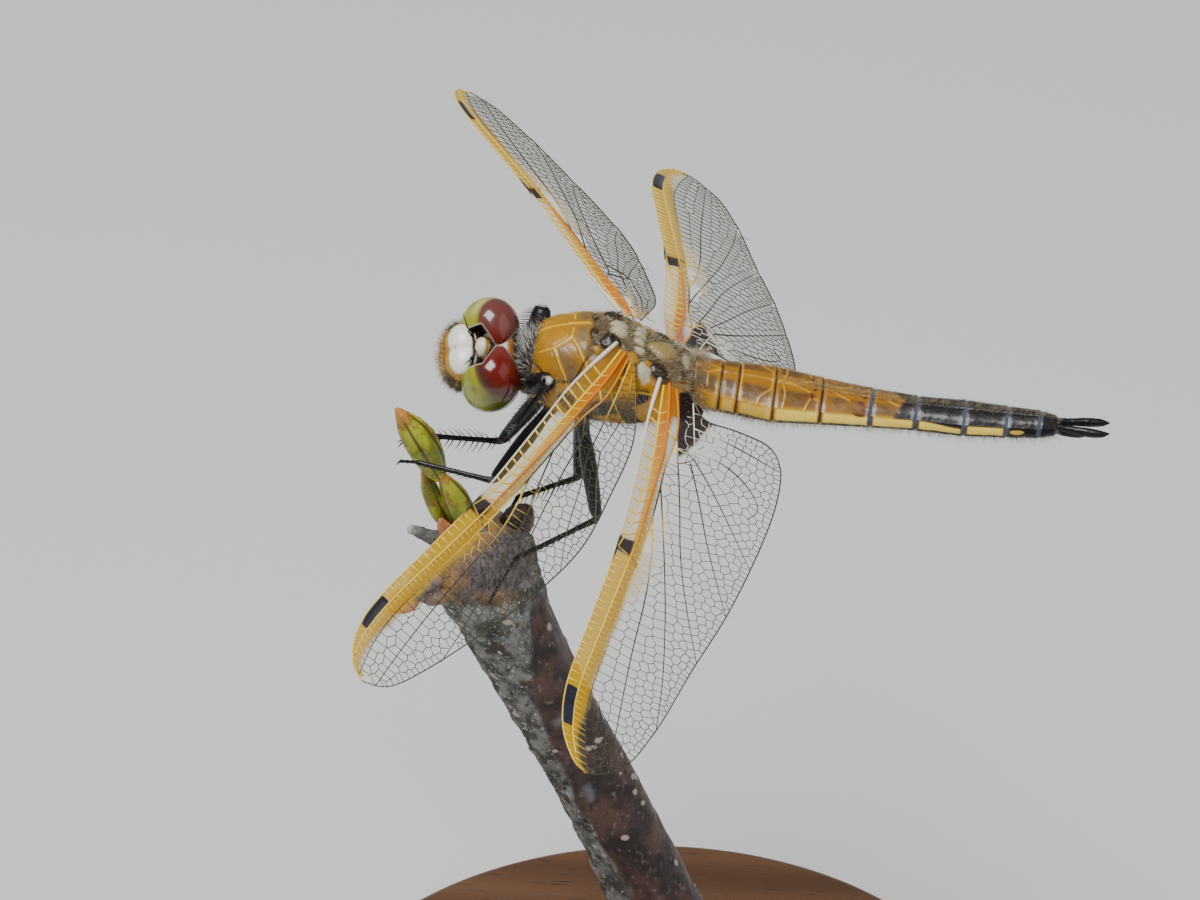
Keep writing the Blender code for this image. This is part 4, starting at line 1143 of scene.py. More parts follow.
SMOKY = (  # centre and size of the sooty patches between the seams
    (-4.95, -2.15, 2.30, 0.50), (-4.70, -2.45, 2.05, 0.55), (-4.30, -2.75, 1.75, 0.60),
    (-3.75, -1.25, 3.35, 0.55), (-3.60, -2.10, 2.95, 0.50), (-3.85, -0.70, 3.50, 0.40),
    (-4.20, -3.05, 1.2, 0.5),
)
PLATES = (  # centre along and across, half lengths, height over the shell, colour
    (-3.05, -0.75, 0.20, 0.34, 0.08, "black"), (-2.85, -2.20, 0.34, 0.30, 0.12, "amber"),
    (-1.50, -0.36, 0.66, 0.46, 0.34, "cream"), (-1.95, -1.50, 0.72, 0.74, 0.34, "black"),
    (-1.30, -2.50, 0.62, 0.60, 0.26, "black"), (-0.85, -1.50, 0.34, 0.42, 0.16, "grout"),
    (-0.35, -2.10, 0.44, 0.52, 0.20, "amber"), (0.02, -0.36, 0.42, 0.36, 0.26, "green"),
    (0.06, -1.18, 0.44, 0.34, 0.24, "cream"), (0.55, -2.45, 0.46, 0.62, 0.20, "cream"),
    (0.80, -1.90, 0.30, 0.30, 0.14, "amber"), (1.66, 0.0, 0.98, 0.92, 0.40, "gold"),
    (1.50, -2.00, 0.66, 0.62, 0.26, "black"), (2.10, -2.70, 0.56, 0.50, 0.20, "black"),
    (2.75, -0.75, 0.40, 0.50, 0.12, "grout"), (3.30, -1.60, 0.36, 0.52, 0.16, "black"),
    (3.35, -0.20, 0.36, 0.60, 0.10, "cream"),
)


def mirrored(lines):
    """Lines given for the left side, and the same on the right."""
    return [np.asarray(line, float) * (1, side, 1) for line in lines for side in (1, -1)]


def around(points):
    """Points on the thorax unrolled: how far along, and how far round from the middle of the back."""
    x, y, z = np.asarray(points, float).T
    return np.column_stack((x, BACK_RADIUS * np.arctan2(y, z), np.zeros(len(x))))


def nearest(points, lines):
    """Each point's distance to the nearest of some lines."""
    dots = np.vstack([evenly(smooth_path(line, 6), DOT_STEP) for line in lines])
    tree = KDTree(len(dots))
    for k, dot in enumerate(dots.tolist()):
        tree.insert(dot, k)
    tree.balance()
    return np.array([tree.find(point)[2] for point in points.tolist()])


def barrel(stations, rows, columns, roundness):
    """Rings of a rounded-square section through stations."""
    line = smooth_path(stations, 10)
    reach = np.concatenate(((0,), np.cumsum(np.linalg.norm(np.diff(line[:, :2], axis=0), axis=1))))
    marks = np.linspace(0, reach[-1], rows)
    x, wide, above, below = (np.interp(marks, reach, line[:, k]) for k in range(4))
    turn = (np.arange(columns) + 0.5) * math.tau / columns
    c, s = np.cos(turn), np.sin(turn)
    y = np.sign(c) * np.abs(c) ** (2 / roundness)
    z = np.sign(s) * np.abs(s) ** (2 / roundness)
    high = np.where(z > 0, above[:, None] * z, below[:, None] * z)
    return np.column_stack((np.repeat(x, columns), (wide[:, None] * y).ravel(), high.ravel()))


def grid_normals(points, rows, columns):
    """The way out at each point of a closed grid."""
    grid = points.reshape(rows, columns, 3)
    out = np.cross(np.gradient(grid, axis=0), np.roll(grid, -1, 1) - np.roll(grid, 1, 1))
    out /= np.maximum(np.linalg.norm(out, axis=2), 1e-9)[..., None]
    middle = grid.mean(axis=1, keepdims=True)
    out *= np.where(((grid - middle) * out).sum(axis=2).mean() > 0, 1, -1)
    return out.reshape(-1, 3)


skin = barrel(THORAX_STATIONS, THORAX_ROWS, THORAX_COLUMNS, THORAX_ROUNDNESS)
out = grid_normals(skin, THORAX_ROWS, THORAX_COLUMNS)
wrapped = around(skin)
seam_gap, dark_gap, suture_gap = (
    nearest(wrapped, [around(line) for line in mirrored(lines)]) for lines in (SEAMS, DARK_BANDS, SHADOWED_SUTURES))
x, y, z = skin.T
top = rise(z, 0.6, 1.8)
lumps = rough(skin, 0.6, 3)
pits = rough(skin, 3.0, 3)
colours = {key: np.zeros(len(skin)) for key in ("black", "cream", "green", "gold", "amber", "grout")}
warp = np.column_stack([rough(skin + shift, 1.7, 2) for shift in (0.0, 31.0)])
height = 0.05 * lumps + 0.012 * pits
between = rise(x, -3.6, -3.0) * top * rise(np.abs(y), 3.0, 2.4)
height = height - 0.16 * between
for cx, cy, rx, ry, tall, key in PLATES:
    wobble = 1 + 0.25 * lumps
    for side in (1, -1):
        q = ((x + 0.12 * warp[:, 0] - cx) / rx) ** 2 + ((y + 0.12 * warp[:, 1] - side * cy) / ry) ** 2
        dome = np.sqrt(np.clip(1 - q * wobble, 0, 1)) * top
        height = np.maximum(height, dome * (tall + 0.04 * pits) - PLATE_SINK)
        share = rise(q * wobble, 1.25, 0.8) * top
        for other, tone in colours.items():
            colours[other] = np.maximum(tone, share) if other == key else tone * (1 - share)
seams = np.exp(-(seam_gap / (SEAM_WIDTH + 0.014 * lumps)) ** 2)
# This mask paints the furrows near black: dark sutures together with painted shadow in the recess.
crack = np.exp(-(suture_gap / SUTURE_WIDTH) ** 2)
smoky = np.zeros(len(skin))
for cx, cy, cz, size in SMOKY:
    for side in (1, -1):
        away = np.linalg.norm(skin - (cx, side * cy, cz), axis=1)
        smoky = np.maximum(smoky, np.exp(-(away / (1.15 * size)) ** 2))
gutter = 0.03 * np.exp(-((seam_gap - 0.17) / 0.07) ** 2)
height = height + (SEAM_RISE * seams - gutter) * (1 - between) - SUTURE_DEPTH * crack
side_dark = rise(dark_gap + 0.15 * lumps, 0.66, 0.50) * rise(z, 1.4, 0.8)
skin = skin + out * height[:, None]
masks = {
    "seam": seams * (1 - between), "black": np.maximum(colours["black"], side_dark), "crack": crack,
    "cream": colours["cream"], "green": colours["green"], "gold": colours["gold"],
    "grout": between * (1 - np.maximum.reduce([colours[key] for key in colours if key != "grout"])),
    "yellow": rise(z + 0.3 * lumps, 1.0, 0.1) * rise(z, -2.6, -1.6),
    "under": rise(z + 0.5 * lumps, -1.9, -2.6), "smoky": smoky * (1 - seams),
}
shell, tree, shader, where = new_material(
    "thorax_shell", coat_weight=0.22, coat_roughness=0.22, specular_ior_level=0.4)
mottle = grain(tree, where, 600.0, 4.0)
fine = grain(tree, where, 4200.0, 3.0)
colour = painted(
    tree, blend(tree, mottle, (0.34, 0.135, 0.002), (0.52, 0.26, 0.008)),
    ("smoky", mottle, (0.095, 0.062, 0.030), (0.25, 0.165, 0.070)),
    ("yellow", mottle, (0.46, 0.20, 0.006), (0.60, 0.33, 0.02)),
    ("grout", mottle, (0.20, 0.125, 0.050), (0.030, 0.016, 0.008)),
    ("cream", mottle, (0.34, 0.27, 0.14), (0.66, 0.60, 0.42)),
    ("green", mottle, (0.30, 0.31, 0.17), (0.52, 0.52, 0.34)),
    ("gold", mottle, (0.20, 0.13, 0.035), (0.42, 0.32, 0.12)),
    ("black", fine, (0.006, 0.004, 0.003), (0.040, 0.020, 0.010)),
    # The last tone is the near-black furrows: dark sutures with painted shadow.
    ("under", (0.055, 0.032, 0.014)), ("seam", (0.86, 0.56, 0.03)), ("crack", (0.020, 0.007, 0.004)),
)
connect(shader, Base_Color=colour, Roughness=scaled(tree, mottle, 0.25, 0.24),
        Normal=bump(tree, fine, 0.03))
thorax_points, thorax_between, thorax_grout = skin, between, masks["grout"]
thorax = build("thorax_skin", in_body(skin), loft_faces(THORAX_ROWS, THORAX_COLUMNS), shell, masks)
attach(thorax, "root")
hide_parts("mesothorax", "metathorax")

# ------------------------ neck
# A narrow brown collar, softly wrinkled, joins the thorax to the head. It is all but hidden under its
# ruff of grey hair.
NECK_STATIONS = (  # along, half width, height above and depth below
    (-8.05, 0.55, 0.45, 0.65), (-7.85, 0.62, 0.52, 0.72), (-7.5, 0.9, 0.8, 1.0), (-7.35, 1.25, 1.15, 1.35),
    (-7.05, 1.66, 1.56, 1.76), (-6.75, 1.7, 1.62, 1.8), (-6.56, 1.52, 1.5, 1.62), (-6.5, 1.38, 1.42, 1.5),
)
NECK_ROWS, NECK_COLUMNS, NECK_ROUNDNESS = 90, 110, 2.0
skin = barrel(NECK_STATIONS, NECK_ROWS, NECK_COLUMNS, NECK_ROUNDNESS)
out = grid_normals(skin, NECK_ROWS, NECK_COLUMNS)
folds = np.sin(skin[:, 0] * 9.0 + 0.8 * rough(skin, 0.9))
neck_points = skin + out * (0.05 * folds + 0.04 * rough(skin, 2.4))[:, None]
neck_finish, tree, shader, where = new_material("neck_shell", roughness=0.55)
colour = blend(tree, grain(tree, where, 900.0, 4.0), (0.012, 0.009, 0.007), (0.09, 0.06, 0.035))
connect(shader, Base_Color=colour, Normal=bump(tree, grain(tree, where, 3800.0), 0.05))
neck = build("neck_skin", in_body(neck_points), loft_faces(NECK_ROWS, NECK_COLUMNS), neck_finish)
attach(neck, "root")
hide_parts("prothorax")

# ------------------------ abdomen
# Ten telescoped rings of glossy shell in one skin, roofed along the back: amber with gold keels and dark
# joints, a yellow band low on each side, then black from the end of the sixth ring to the tail.
ABDOMEN_RINGS = (  # along, half width and half height where each ring starts
    (3.75, 2.05, 1.6), (4.6, 2.15, 1.45), (5.72, 2.3, 1.3), (9.36, 2.65, 1.15), (12.53, 2.2, 1.0),
    (15.89, 1.8, 0.92), (18.92, 1.55, 0.86), (22.15, 1.62, 0.88), (24.98, 1.4, 0.8), (27.14, 1.2, 0.75),
    (28.48, 0.8, 0.55),
)
GOLD_LINES = (  # station and share of the way from the keel to the side edge
    ((4.0, 0.06), (4.7, 0.22), (4.8, 0.42), (4.85, 0.65)), ((4.7, 0.22), (5.2, 0.10), (5.65, 0.02)),
    ((7.1, 0.02), (7.06, 0.35), (7.0, 0.80)),
    ((9.15, 0.02), (9.12, 0.28), (8.75, 0.46), (8.4, 0.62), (8.3, 0.80)),
    ((9.85, 0.10), (10.05, 0.42), (9.98, 0.80)), ((9.6, 0.03), (10.7, 0.07), (11.7, 0.22)),
    ((11.75, 0.45), (11.6, 0.62), (11.45, 0.80)), ((11.8, 0.45), (12.3, 0.45)),
    ((13.5, 0.14), (14.4, 0.34)), ((16.9, 0.12), (17.7, 0.30)),
)
STAINS = (  # station, share of the way to the edge, half lengths
    (12.1, 0.08, 0.16, 0.05), (11.85, 0.36, 0.14, 0.14), (15.2, 0.40, 0.22, 0.10), (15.5, 0.62, 0.35, 0.14),
    (15.1, 0.74, 0.50, 0.07), (15.4, 0.10, 0.26, 0.06), (18.4, 0.62, 0.40, 0.16), (18.5, 0.20, 0.25, 0.10),
)
ABDOMEN_ROWS, ABDOMEN_COLUMNS = 560, 132
ROOF, BELLY, KEEL = 1.15, 0.85, 0.06
SECTION_POWER = 1.12
SECOND_JOINTS = (3.75, 5.72, 6.9)
EDGE_STRETCH = 2.2
ABDOMEN_ROLL = math.radians(6.0)
BEND_FROM, TIP_LIFT = 12.0, 0.8

line = np.array(ABDOMEN_RINGS)
starts = line[:, 0]
stations = np.linspace(starts[0] - 0.25, starts[-1], ABDOMEN_ROWS)
wide = np.interp(stations, starts, line[:, 1])
thick = np.interp(stations, starts, line[:, 2])
joints = np.array(SECOND_JOINTS + tuple(starts[3:]))
ring = np.clip(np.searchsorted(joints, stations, side="right") - 1, 0, 9)
along = (stations - joints[ring]) / (joints[ring + 1] - joints[ring])
behind = stations - joints[ring]
before = joints[ring + 1] - stations
squeeze = 1 - 0.055 * np.exp(-(behind / 0.16) ** 2) + 0.018 * np.exp(-((before - 0.16) / 0.14) ** 2)
tail_end = 0.35 * rise(stations, starts[-1] - 0.35, starts[-1])
squeeze *= 1 - tail_end - 0.1 * rise(stations, starts[0] + 0.2, starts[0] - 0.25)
turn = (np.arange(ABDOMEN_COLUMNS) + 0.5) * math.tau / ABDOMEN_COLUMNS
c, s = np.cos(turn), np.sin(turn)
sy = np.sign(c) * np.abs(c) ** SECTION_POWER
sz = np.sign(s) * np.abs(s) ** SECTION_POWER * np.where(s > 0, ROOF, BELLY)
keel = KEEL * np.exp(-((turn - math.pi / 2) / 0.07) ** 2)
y = (wide * squeeze)[:, None] * sy
z = (thick * squeeze)[:, None] * (sz + keel)
skin = np.column_stack((np.repeat(stations, ABDOMEN_COLUMNS), y.ravel(), z.ravel()))
across = np.tile(sy, ABDOMEN_ROWS)
upper = np.tile(s, ABDOMEN_ROWS)
aside = np.abs(across)
x, ring, along, behind, before = (
    np.repeat(value, ABDOMEN_COLUMNS) for value in (stations, ring, along, behind, before))
lumps = rough(skin, 0.9, 3)
wrinkle = rough(skin, 2.6, 3, (0.5, 1, 1))
belly_fold = np.exp(-((aside - 0.45) / 0.10) ** 2) * (upper < 0)
lift = 0.014 * lumps + 0.008 * wrinkle - 0.10 * belly_fold
flat = np.column_stack((x, aside * EDGE_STRETCH, np.zeros(len(skin))))
gold_lines = [[(at, share * EDGE_STRETCH, 0.0) for at, share in line] for line in GOLD_LINES]
gold_gap = nearest(flat, gold_lines)
bow_line = np.exp(-(gold_gap / 0.044) ** 2) * (upper > 0)
keel_line = np.exp(-(across / 0.030) ** 2) * (upper > 0) * rise(x, 6.8, 7.0)
side_line = np.exp(-((aside - 0.80) / 0.020) ** 2) * (upper > 0)
lift = lift + 0.03 * bow_line + 0.02 * side_line
out = grid_normals(skin, ABDOMEN_ROWS, ABDOMEN_COLUMNS)
skin = skin + out * lift[:, None]
roll = np.array(Matrix.Rotation(ABDOMEN_ROLL, 3, "X"))
skin = skin @ roll.T
bend = np.clip((x - BEND_FROM) / (starts[-1] - BEND_FROM), 0, None)
skin[:, 2] += TIP_LIFT * bend ** 2
wide_joint = 0.10 + 0.11 * rise(x, 11.0, 16.0)
joint = rise(np.minimum(behind, before) + 0.02 * wrinkle, wide_joint, 0.45 * wide_joint)
stain = np.zeros(len(skin))
for at_x, at_side, half_x, half_side in STAINS:
    q = ((x + 0.2 * wrinkle - at_x) / half_x) ** 2
    q += ((aside + 0.08 * lumps - at_side) / half_side) ** 2
    stain = np.maximum(stain, rise(q, 1.3, 0.4) * (upper > 0))
fade = x + 0.9 * aside * (upper > 0) + 0.35 * lumps
tail_black = rise(fade, 17.85, 18.25)
low_margin = rise(upper + 0.05 * wrinkle, 0.13, 0.02) * rise(upper, -0.60, -0.45)
slant = 0.09 * rise(along, 0.1, 0.9) * (ring == 6)
band = rise(aside - slant, 0.79, 0.85) * rise(upper, 0.0, 0.12) * rise(x, 4.6, 6.0)
inset = rise(behind, 0.12, 0.35) * rise(before, 0.05, 0.3)
patch = band * inset * (ring < 7.5)
spot_nine = rise(((along - 0.33) / 0.24) ** 2 + ((aside - 0.93) / 0.06) ** 2, 1.2, 0.6)
spot_nine *= (ring == 8) * (upper > 0)
black = np.maximum.reduce([
    tail_black * (1 - patch), low_margin * inset * rise(x, 5.0, 7.0), rise(ring, 8.4, 8.6),
    rise(x, 4.35, 3.75) * rise(aside, 0.25, 0.5) * 0.9])
gold = np.maximum.reduce([bow_line * 0.85, keel_line * 0.35, side_line * 0.35])
rust = rise(x, 21.8, 19.5) * rise(aside, 0.75, 0.5) * rise(lumps + wrinkle, 0.3, 1.0)
mid_ring = rise(along, 0.02, 0.15) * rise(along, 0.95, 0.8)
masks = {
    "black": black * (1 - 0.9 * spot_nine), "joint": joint, "under": rise(upper, -0.35, -0.6),
    "yellow": np.maximum(patch * (0.45 + 0.55 * rise(x, 8.6, 9.6)), spot_nine * 0.6),
    "gold": gold * (1 - tail_black) * rise(x, 4.0, 5.0), "rust": tail_black * rust,
    "warm": rise(along, 0.35, 1.0) * rise(x, 6.0, 16.0), "stain": stain * (1 - tail_black),
    "smoky": rise(aside, 0.20, 0.34) * rise(aside, 0.78, 0.66) * (upper > 0) * mid_ring,
    "blue": joint * rise(x, 13.0, 16.0),
}
shell, tree, shader, where = new_material(
    "abdomen_shell", coat_weight=0.30, coat_roughness=0.14, specular_ior_level=0.4)
mottle = grain(tree, where, 520.0, 4.0)
streak = grain(tree, stretched(tree, where, (0.35, 1.0, 1.0)), 2400.0, 4.0)
fine = grain(tree, where, 5200.0, 2.0)
smoky = times(tree, attribute(tree, "smoky"), edge(tree, mottle, 0.25, 0.55))
warm = times(tree, attribute(tree, "warm"), edge(tree, mottle, 0.40, 0.65))
colour = blend(tree, mottle, (0.28, 0.100, 0.002), (0.44, 0.21, 0.006))
colour = blend(tree, smoky, colour, blend(tree, streak, (0.085, 0.042, 0.014), (0.19, 0.090, 0.014)))
colour = painted(
    tree, blend(tree, warm, colour, (0.32, 0.085, 0.002)),
    ("yellow", streak, (0.88, 0.56, 0.03), (0.98, 0.78, 0.20)), ("gold", (0.82, 0.48, 0.02)),
    ("stain", streak, (0.20, 0.035, 0.001), (0.035, 0.010, 0.003)),
    ("under", mottle, (0.045, 0.028, 0.015), (0.14, 0.085, 0.035)),
    ("black", streak, (0.004, 0.003, 0.004), (0.014, 0.011, 0.012)), ("rust", (0.105, 0.018, 0.003)),
    ("joint", streak, (0.018, 0.008, 0.004), (0.085, 0.034, 0.014)),
    ("blue", streak, (0.026, 0.030, 0.048), (0.11, 0.125, 0.175)),
)
connect(shader, Base_Color=colour, Roughness=scaled(tree, streak, 0.25, 0.20),
        Normal=bump(tree, scaled(tree, fine, 0.5, streak), 0.022))
abdomen_points, abdomen_aside, abdomen_upper, abdomen_x = skin, aside, upper, x
abdomen = build("abdomen_skin", in_body(skin), loft_faces(ABDOMEN_ROWS, ABDOMEN_COLUMNS), shell, masks)
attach(abdomen, "root")
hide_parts(*(f"abdomen_{number:02d}" for number in range(1, 11)))

# ------------------------ tail claspers
# Two black claspers and a short lower plate end the abdomen, hard and bristly, each swollen past its
# middle and drawn out to an upturned point.
CERCUS = ((28.35, 0.34, 0.98), (29.2, 0.44, 0.98), (30.4, 0.60, 1.05), (31.3, 0.66, 1.12),
          (31.8, 0.62, 1.22))
CERCUS_RADII = (0.24, 0.25, 0.31, 0.24, 0.05)
EPIPROCT = ((28.35, 0, 0.48), (29.0, 0, 0.42), (29.9, 0, 0.42), (30.45, 0, 0.52))
CLASPERS = (  # node, path from the thorax, side and radii
    ("cercus_left", CERCUS, -1, CERCUS_RADII),
    ("cercus_right", CERCUS, 1, CERCUS_RADII),
    ("epiproct", EPIPROCT, 1, (0.26, 0.30, 0.26, 0.10)),
)

black_shell, tree, shader, where = new_material(
    "black_shell", coat_weight=0.14, coat_roughness=0.2, specular_ior_level=0.3)
mottle = grain(tree, where, 900.0, 4.0)
fine = grain(tree, where, 5000.0, 3.0)
colour = painted(
    tree, blend(tree, mottle, (0.003, 0.003, 0.004), (0.012, 0.010, 0.011)),
    # pale is a painted highlight on the knees; brown is the legs' own colour.
    ("pale", (0.70, 0.68, 0.62)), ("brown", (0.16, 0.07, 0.02)),
)
connect(shader, Base_Color=colour, Roughness=scaled(tree, fine, 0.3, 0.22),
        Normal=bump(tree, fine, 0.03))


def limb(path, radii, sides, gap, rough_by=0.02):
    """Points and faces of a smooth tube along a path, given its radius at each corner."""
    line = evenly(smooth_path(np.column_stack((path, radii)), 10), gap)
    centre, girth = line[:, :3], line[:, 3]
    up = np.tile((0.05, 0.35, 1.0), (len(centre), 1))
    points, faces = strut(centre, girth, up, sides)
    out = unit(points - np.repeat(centre, sides, axis=0))
    return points + out * (rough_by * rough(points, 2.2, 3))[:, None], faces


for node, path, side, radii in CLASPERS:
    points, faces = limb(np.array(path) * (1, side, 1), radii, sides=28, gap=0.05)
    clasper = build(node + "_hooked", in_body(points), faces, black_shell)
    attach(clasper, "root")
    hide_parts(node)

# ------------------------ head
# One hard capsule in one skin: a cream two-lobed brow framed in gold, a black band with a cream bump
# behind it, amber lips below and an amber wedge behind the eyes.
HEAD_CENTRE = (-9.65, 0.0, -0.08)
head_turn = np.array(Euler((math.radians(31.0), 0, math.radians(10.0))).to_matrix())


def in_head(points):
    """World points of points in the head's own frame, which is rolled and turned on the neck."""
    return in_body(np.asarray(points, float) @ head_turn.T + np.array(HEAD_CENTRE))


HEAD_ROWS, HEAD_COLUMNS = 260, 300
HEAD_SHARPNESS = 14.0
POLE_GAP = 0.004
MOUTH_CREASES = ((-0.42, 0.07), (-1.22, 0.09), (-1.95, 0.08))  # height and depth
HEAD_MIDDLE = np.array((-0.5, 0.0, -0.4))
HEAD_FORMS = (  # centre and radii of the rounded forms that make the capsule
    ((0.45, 0.0, -0.35), (1.38, 2.9, 2.2)),
    ((-0.74, 0.08, 0.42), (0.62, 0.84, 1.24)),
    ((-1.80, -0.66, -0.02), (1.36, 1.46, 1.34)),
    ((-1.80, 0.66, -0.02), (1.36, 1.46, 1.34)),
    ((-1.82, 0.0, -0.78), (1.60, 2.2, 0.95)),
    ((-1.32, 0.0, -1.55), (1.48, 1.9, 1.12)),
    ((-0.75, 0.0, -2.15), (1.25, 1.5, 0.75)),
)


def hull(ways, middle, forms, sharp):
    """How far a smooth skin over ellipsoids lies from the middle in each direction."""
    reach = []
    for centre, radii in forms:
        offset = (middle - np.array(centre)) / np.array(radii)
        way = ways / np.array(radii)
        a, b, c = (way ** 2).sum(axis=1), way @ offset, offset @ offset - 1
        root = b * b - a * c
        reach.append(np.where(root > 0, (-b + np.sqrt(np.abs(root))) / a, 0.0))
    reach = np.array(reach)
    return np.log(np.exp(sharp * np.clip(reach, 0, None)).sum(axis=0)) / sharp, reach


def ball_ways(rows, columns):
    """Directions over a ball, from pole to pole along X, and the faces between them."""
    tilt = np.linspace(POLE_GAP, math.pi - POLE_GAP, rows)[:, None]
    turn = np.arange(columns) * math.tau / columns
    ways = np.stack(np.broadcast_arrays(
        np.cos(tilt), np.sin(tilt) * np.cos(turn), np.sin(tilt) * np.sin(turn)), axis=2)
    return ways.reshape(-1, 3), loft_faces(rows, columns)


ways, faces = ball_ways(HEAD_ROWS, HEAD_COLUMNS)
reach, forms = hull(ways, HEAD_MIDDLE, HEAD_FORMS, HEAD_SHARPNESS)
skin = HEAD_MIDDLE + ways * reach[:, None]
x, y, z = skin.T
lumps = rough(skin, 1.1, 3)
furrow = np.exp(-(y / 0.10) ** 2) * rise(z, -0.2, 0.4) * rise(x, -1.3, -1.7)
vertex = rise(forms[1] - np.maximum.reduce([forms[2], forms[3], forms[0]]), 0.0, 0.05) * rise(z, 0.3, 0.6)
back_of_brow = x + 0.10 * y * y
notch = np.exp(-((back_of_brow + 1.36) / 0.17) ** 2) * rise(z, 0.5, 0.9)
reach = reach - 0.03 * furrow - 0.16 * notch * (1 - vertex) + 0.012 * lumps
for crease_z, deep in MOUTH_CREASES:
    reach = reach - deep * np.exp(-((z - crease_z) / 0.06) ** 2) * rise(x, -0.8, -1.4)
skin = HEAD_MIDDLE + ways * reach[:, None]
x, y, z = skin.T
back_of_brow = x + 0.10 * y * y
white = rise(z + 0.05 * lumps, 0.50, 0.72) * rise(back_of_brow, -1.42, -1.56)
white *= rise(np.abs(y) + 0.1 * z, 1.92, 1.76)
white *= 1 - 0.22 * np.exp(-(y / 0.04) ** 2)
band = rise(back_of_brow, -1.46, -1.36) * rise(x, 0.10, -0.15) * rise(z, 0.1, 0.5) * (1 - vertex)
side_band = rise(x, -1.9, -1.5) * rise(np.abs(y), 1.5, 1.9) * rise(z, -0.6, 0.2)
masks = {
    "white": white, "vertex": vertex, "black": np.maximum(band, side_band * 0.9),
    "golden": rise(z, -0.45, 0.25) * rise(x, -1.5, -1.9) * (1 - white),
    "lip": rise(z, -1.15, -1.28) * rise(x, -0.7, -1.2), "occiput": rise(x, 0.35, 0.6) * rise(z, 0.2, 0.6),
    "cream": np.exp(-((x - 0.62) / 0.20) ** 2) * rise(z, 1.0, 1.4), "back": rise(x, 1.1, 1.45),
    "cheek": rise(x, -1.5, -0.6) * rise(z, 0.0, -0.6),
    "vertex_rim": vertex * np.maximum(rise(x, -0.85, -0.50), rise(z, 1.15, 0.85)),
}
face_finish, tree, shader, where = new_material("head_shell", coat_weight=0.4, coat_roughness=0.16)
mottle = grain(tree, where, 1400.0, 4.0)
fine = grain(tree, where, 6500.0, 3.0)
colour = painted(
    tree, blend(tree, mottle, (0.40, 0.15, 0.006), (0.20, 0.062, 0.005)),
    ("lip", mottle, (0.42, 0.17, 0.010), (0.08, 0.028, 0.008)),
    ("cheek", mottle, (0.28, 0.18, 0.03), (0.10, 0.055, 0.02)),
    ("golden", mottle, (0.72, 0.40, 0.010), (0.48, 0.21, 0.004)),
    ("white", mottle, (0.90, 0.88, 0.76), (0.95, 0.94, 0.88)),
    ("black", fine, (0.006, 0.004, 0.003), (0.05, 0.02, 0.01)),
    ("vertex", mottle, (0.92, 0.89, 0.72), (0.86, 0.78, 0.52)), ("vertex_rim", (0.50, 0.24, 0.03)),
    ("occiput", mottle, (0.50, 0.17, 0.006), (0.32, 0.095, 0.004)),
    ("cream", (0.80, 0.72, 0.52)), ("back", (0.05, 0.035, 0.02)),
)
connect(shader, Base_Color=colour, Roughness=scaled(tree, mottle, 0.2, 0.22),
        Normal=bump(tree, fine, 0.02))
head_shape, head_white = skin, white
head_points = skin @ head_turn.T + np.array(HEAD_CENTRE)
head = build("head_skin", in_head(skin), faces, face_finish, masks)
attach(head, "root")
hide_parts("head_capsule", "head_vertex", "head_frons", "head_clypeus", "head_labrum")

# ------------------------ eyes and feelers
# Two great compound eyes of clear facets over coloured flesh, dark red above and green below, that touch
# on top of the head. Between them stand two thin bristle feelers and three beads of simple eyes.
EYE_OFFSET = 1.9
EYE_SEAM = 0.15
EYE_RADII = np.array((2.02, 2.05, 2.5))
EYE_ROWS, EYE_COLUMNS = 200, 240
EYE_BULGE, BULGE_WIDTH = 0.21, 0.42
FEELER_LENGTHS = (0.0, 0.12, 0.30, 0.34, 0.8, 1.3, 1.75)
FEELER_RADII = (0.17, 0.18, 0.14, 0.06, 0.045, 0.036, 0.018)
BEAD_CENTRES, BEAD_RADIUS = ((-1.50, 0.0, 1.02), (-0.98, -0.62, 1.08), (-0.98, 0.62, 1.08)), 0.13

eye_finish, tree, shader, where = new_material(
    "eye_facets", roughness=0.2, specular_ior_level=0.3, coat_weight=0.8, coat_roughness=0.04)
cloud = grain(tree, where, 420.0, 3.0)
facet = add_node(tree, "TexVoronoi", {"Vector": where, "Scale": 21000.0, "Randomness": 0.25},
                 feature="DISTANCE_TO_EDGE")
cap = plus(tree, attribute(tree, "cap"), scaled(tree, cloud, 0.2, -0.1))
low = painted(
    tree, (0.075, 0.100, 0.006), ("front", (0.36, 0.37, 0.022)), ("pale", (0.58, 0.56, 0.20)))
low = blend(tree, edge(tree, cloud, 0.5, 0.7), low, (0.19, 0.16, 0.012))
colour = blend(tree, edge(tree, cap, 0.04, 0.36), low, (0.135, 0.075, 0.030))
colour = blend(tree, edge(tree, cap, 0.24, 0.60), colour, (0.085, 0.022, 0.014))
colour = blend(tree, edge(tree, cap, 0.60, 1.0), colour, (0.150, 0.008, 0.003))
colour = painted(
    tree, colour, ("mauve", (0.165, 0.050, 0.042)), ("spot", (0.03, 0.035, 0.01)),
    ("rim", (0.52, 0.46, 0.36)), ("wall", (0.012, 0.006, 0.008)),
)
connect(shader, Base_Color=colour, Normal=bump(tree, facet.outputs["Distance"], 0.006, 0.5))

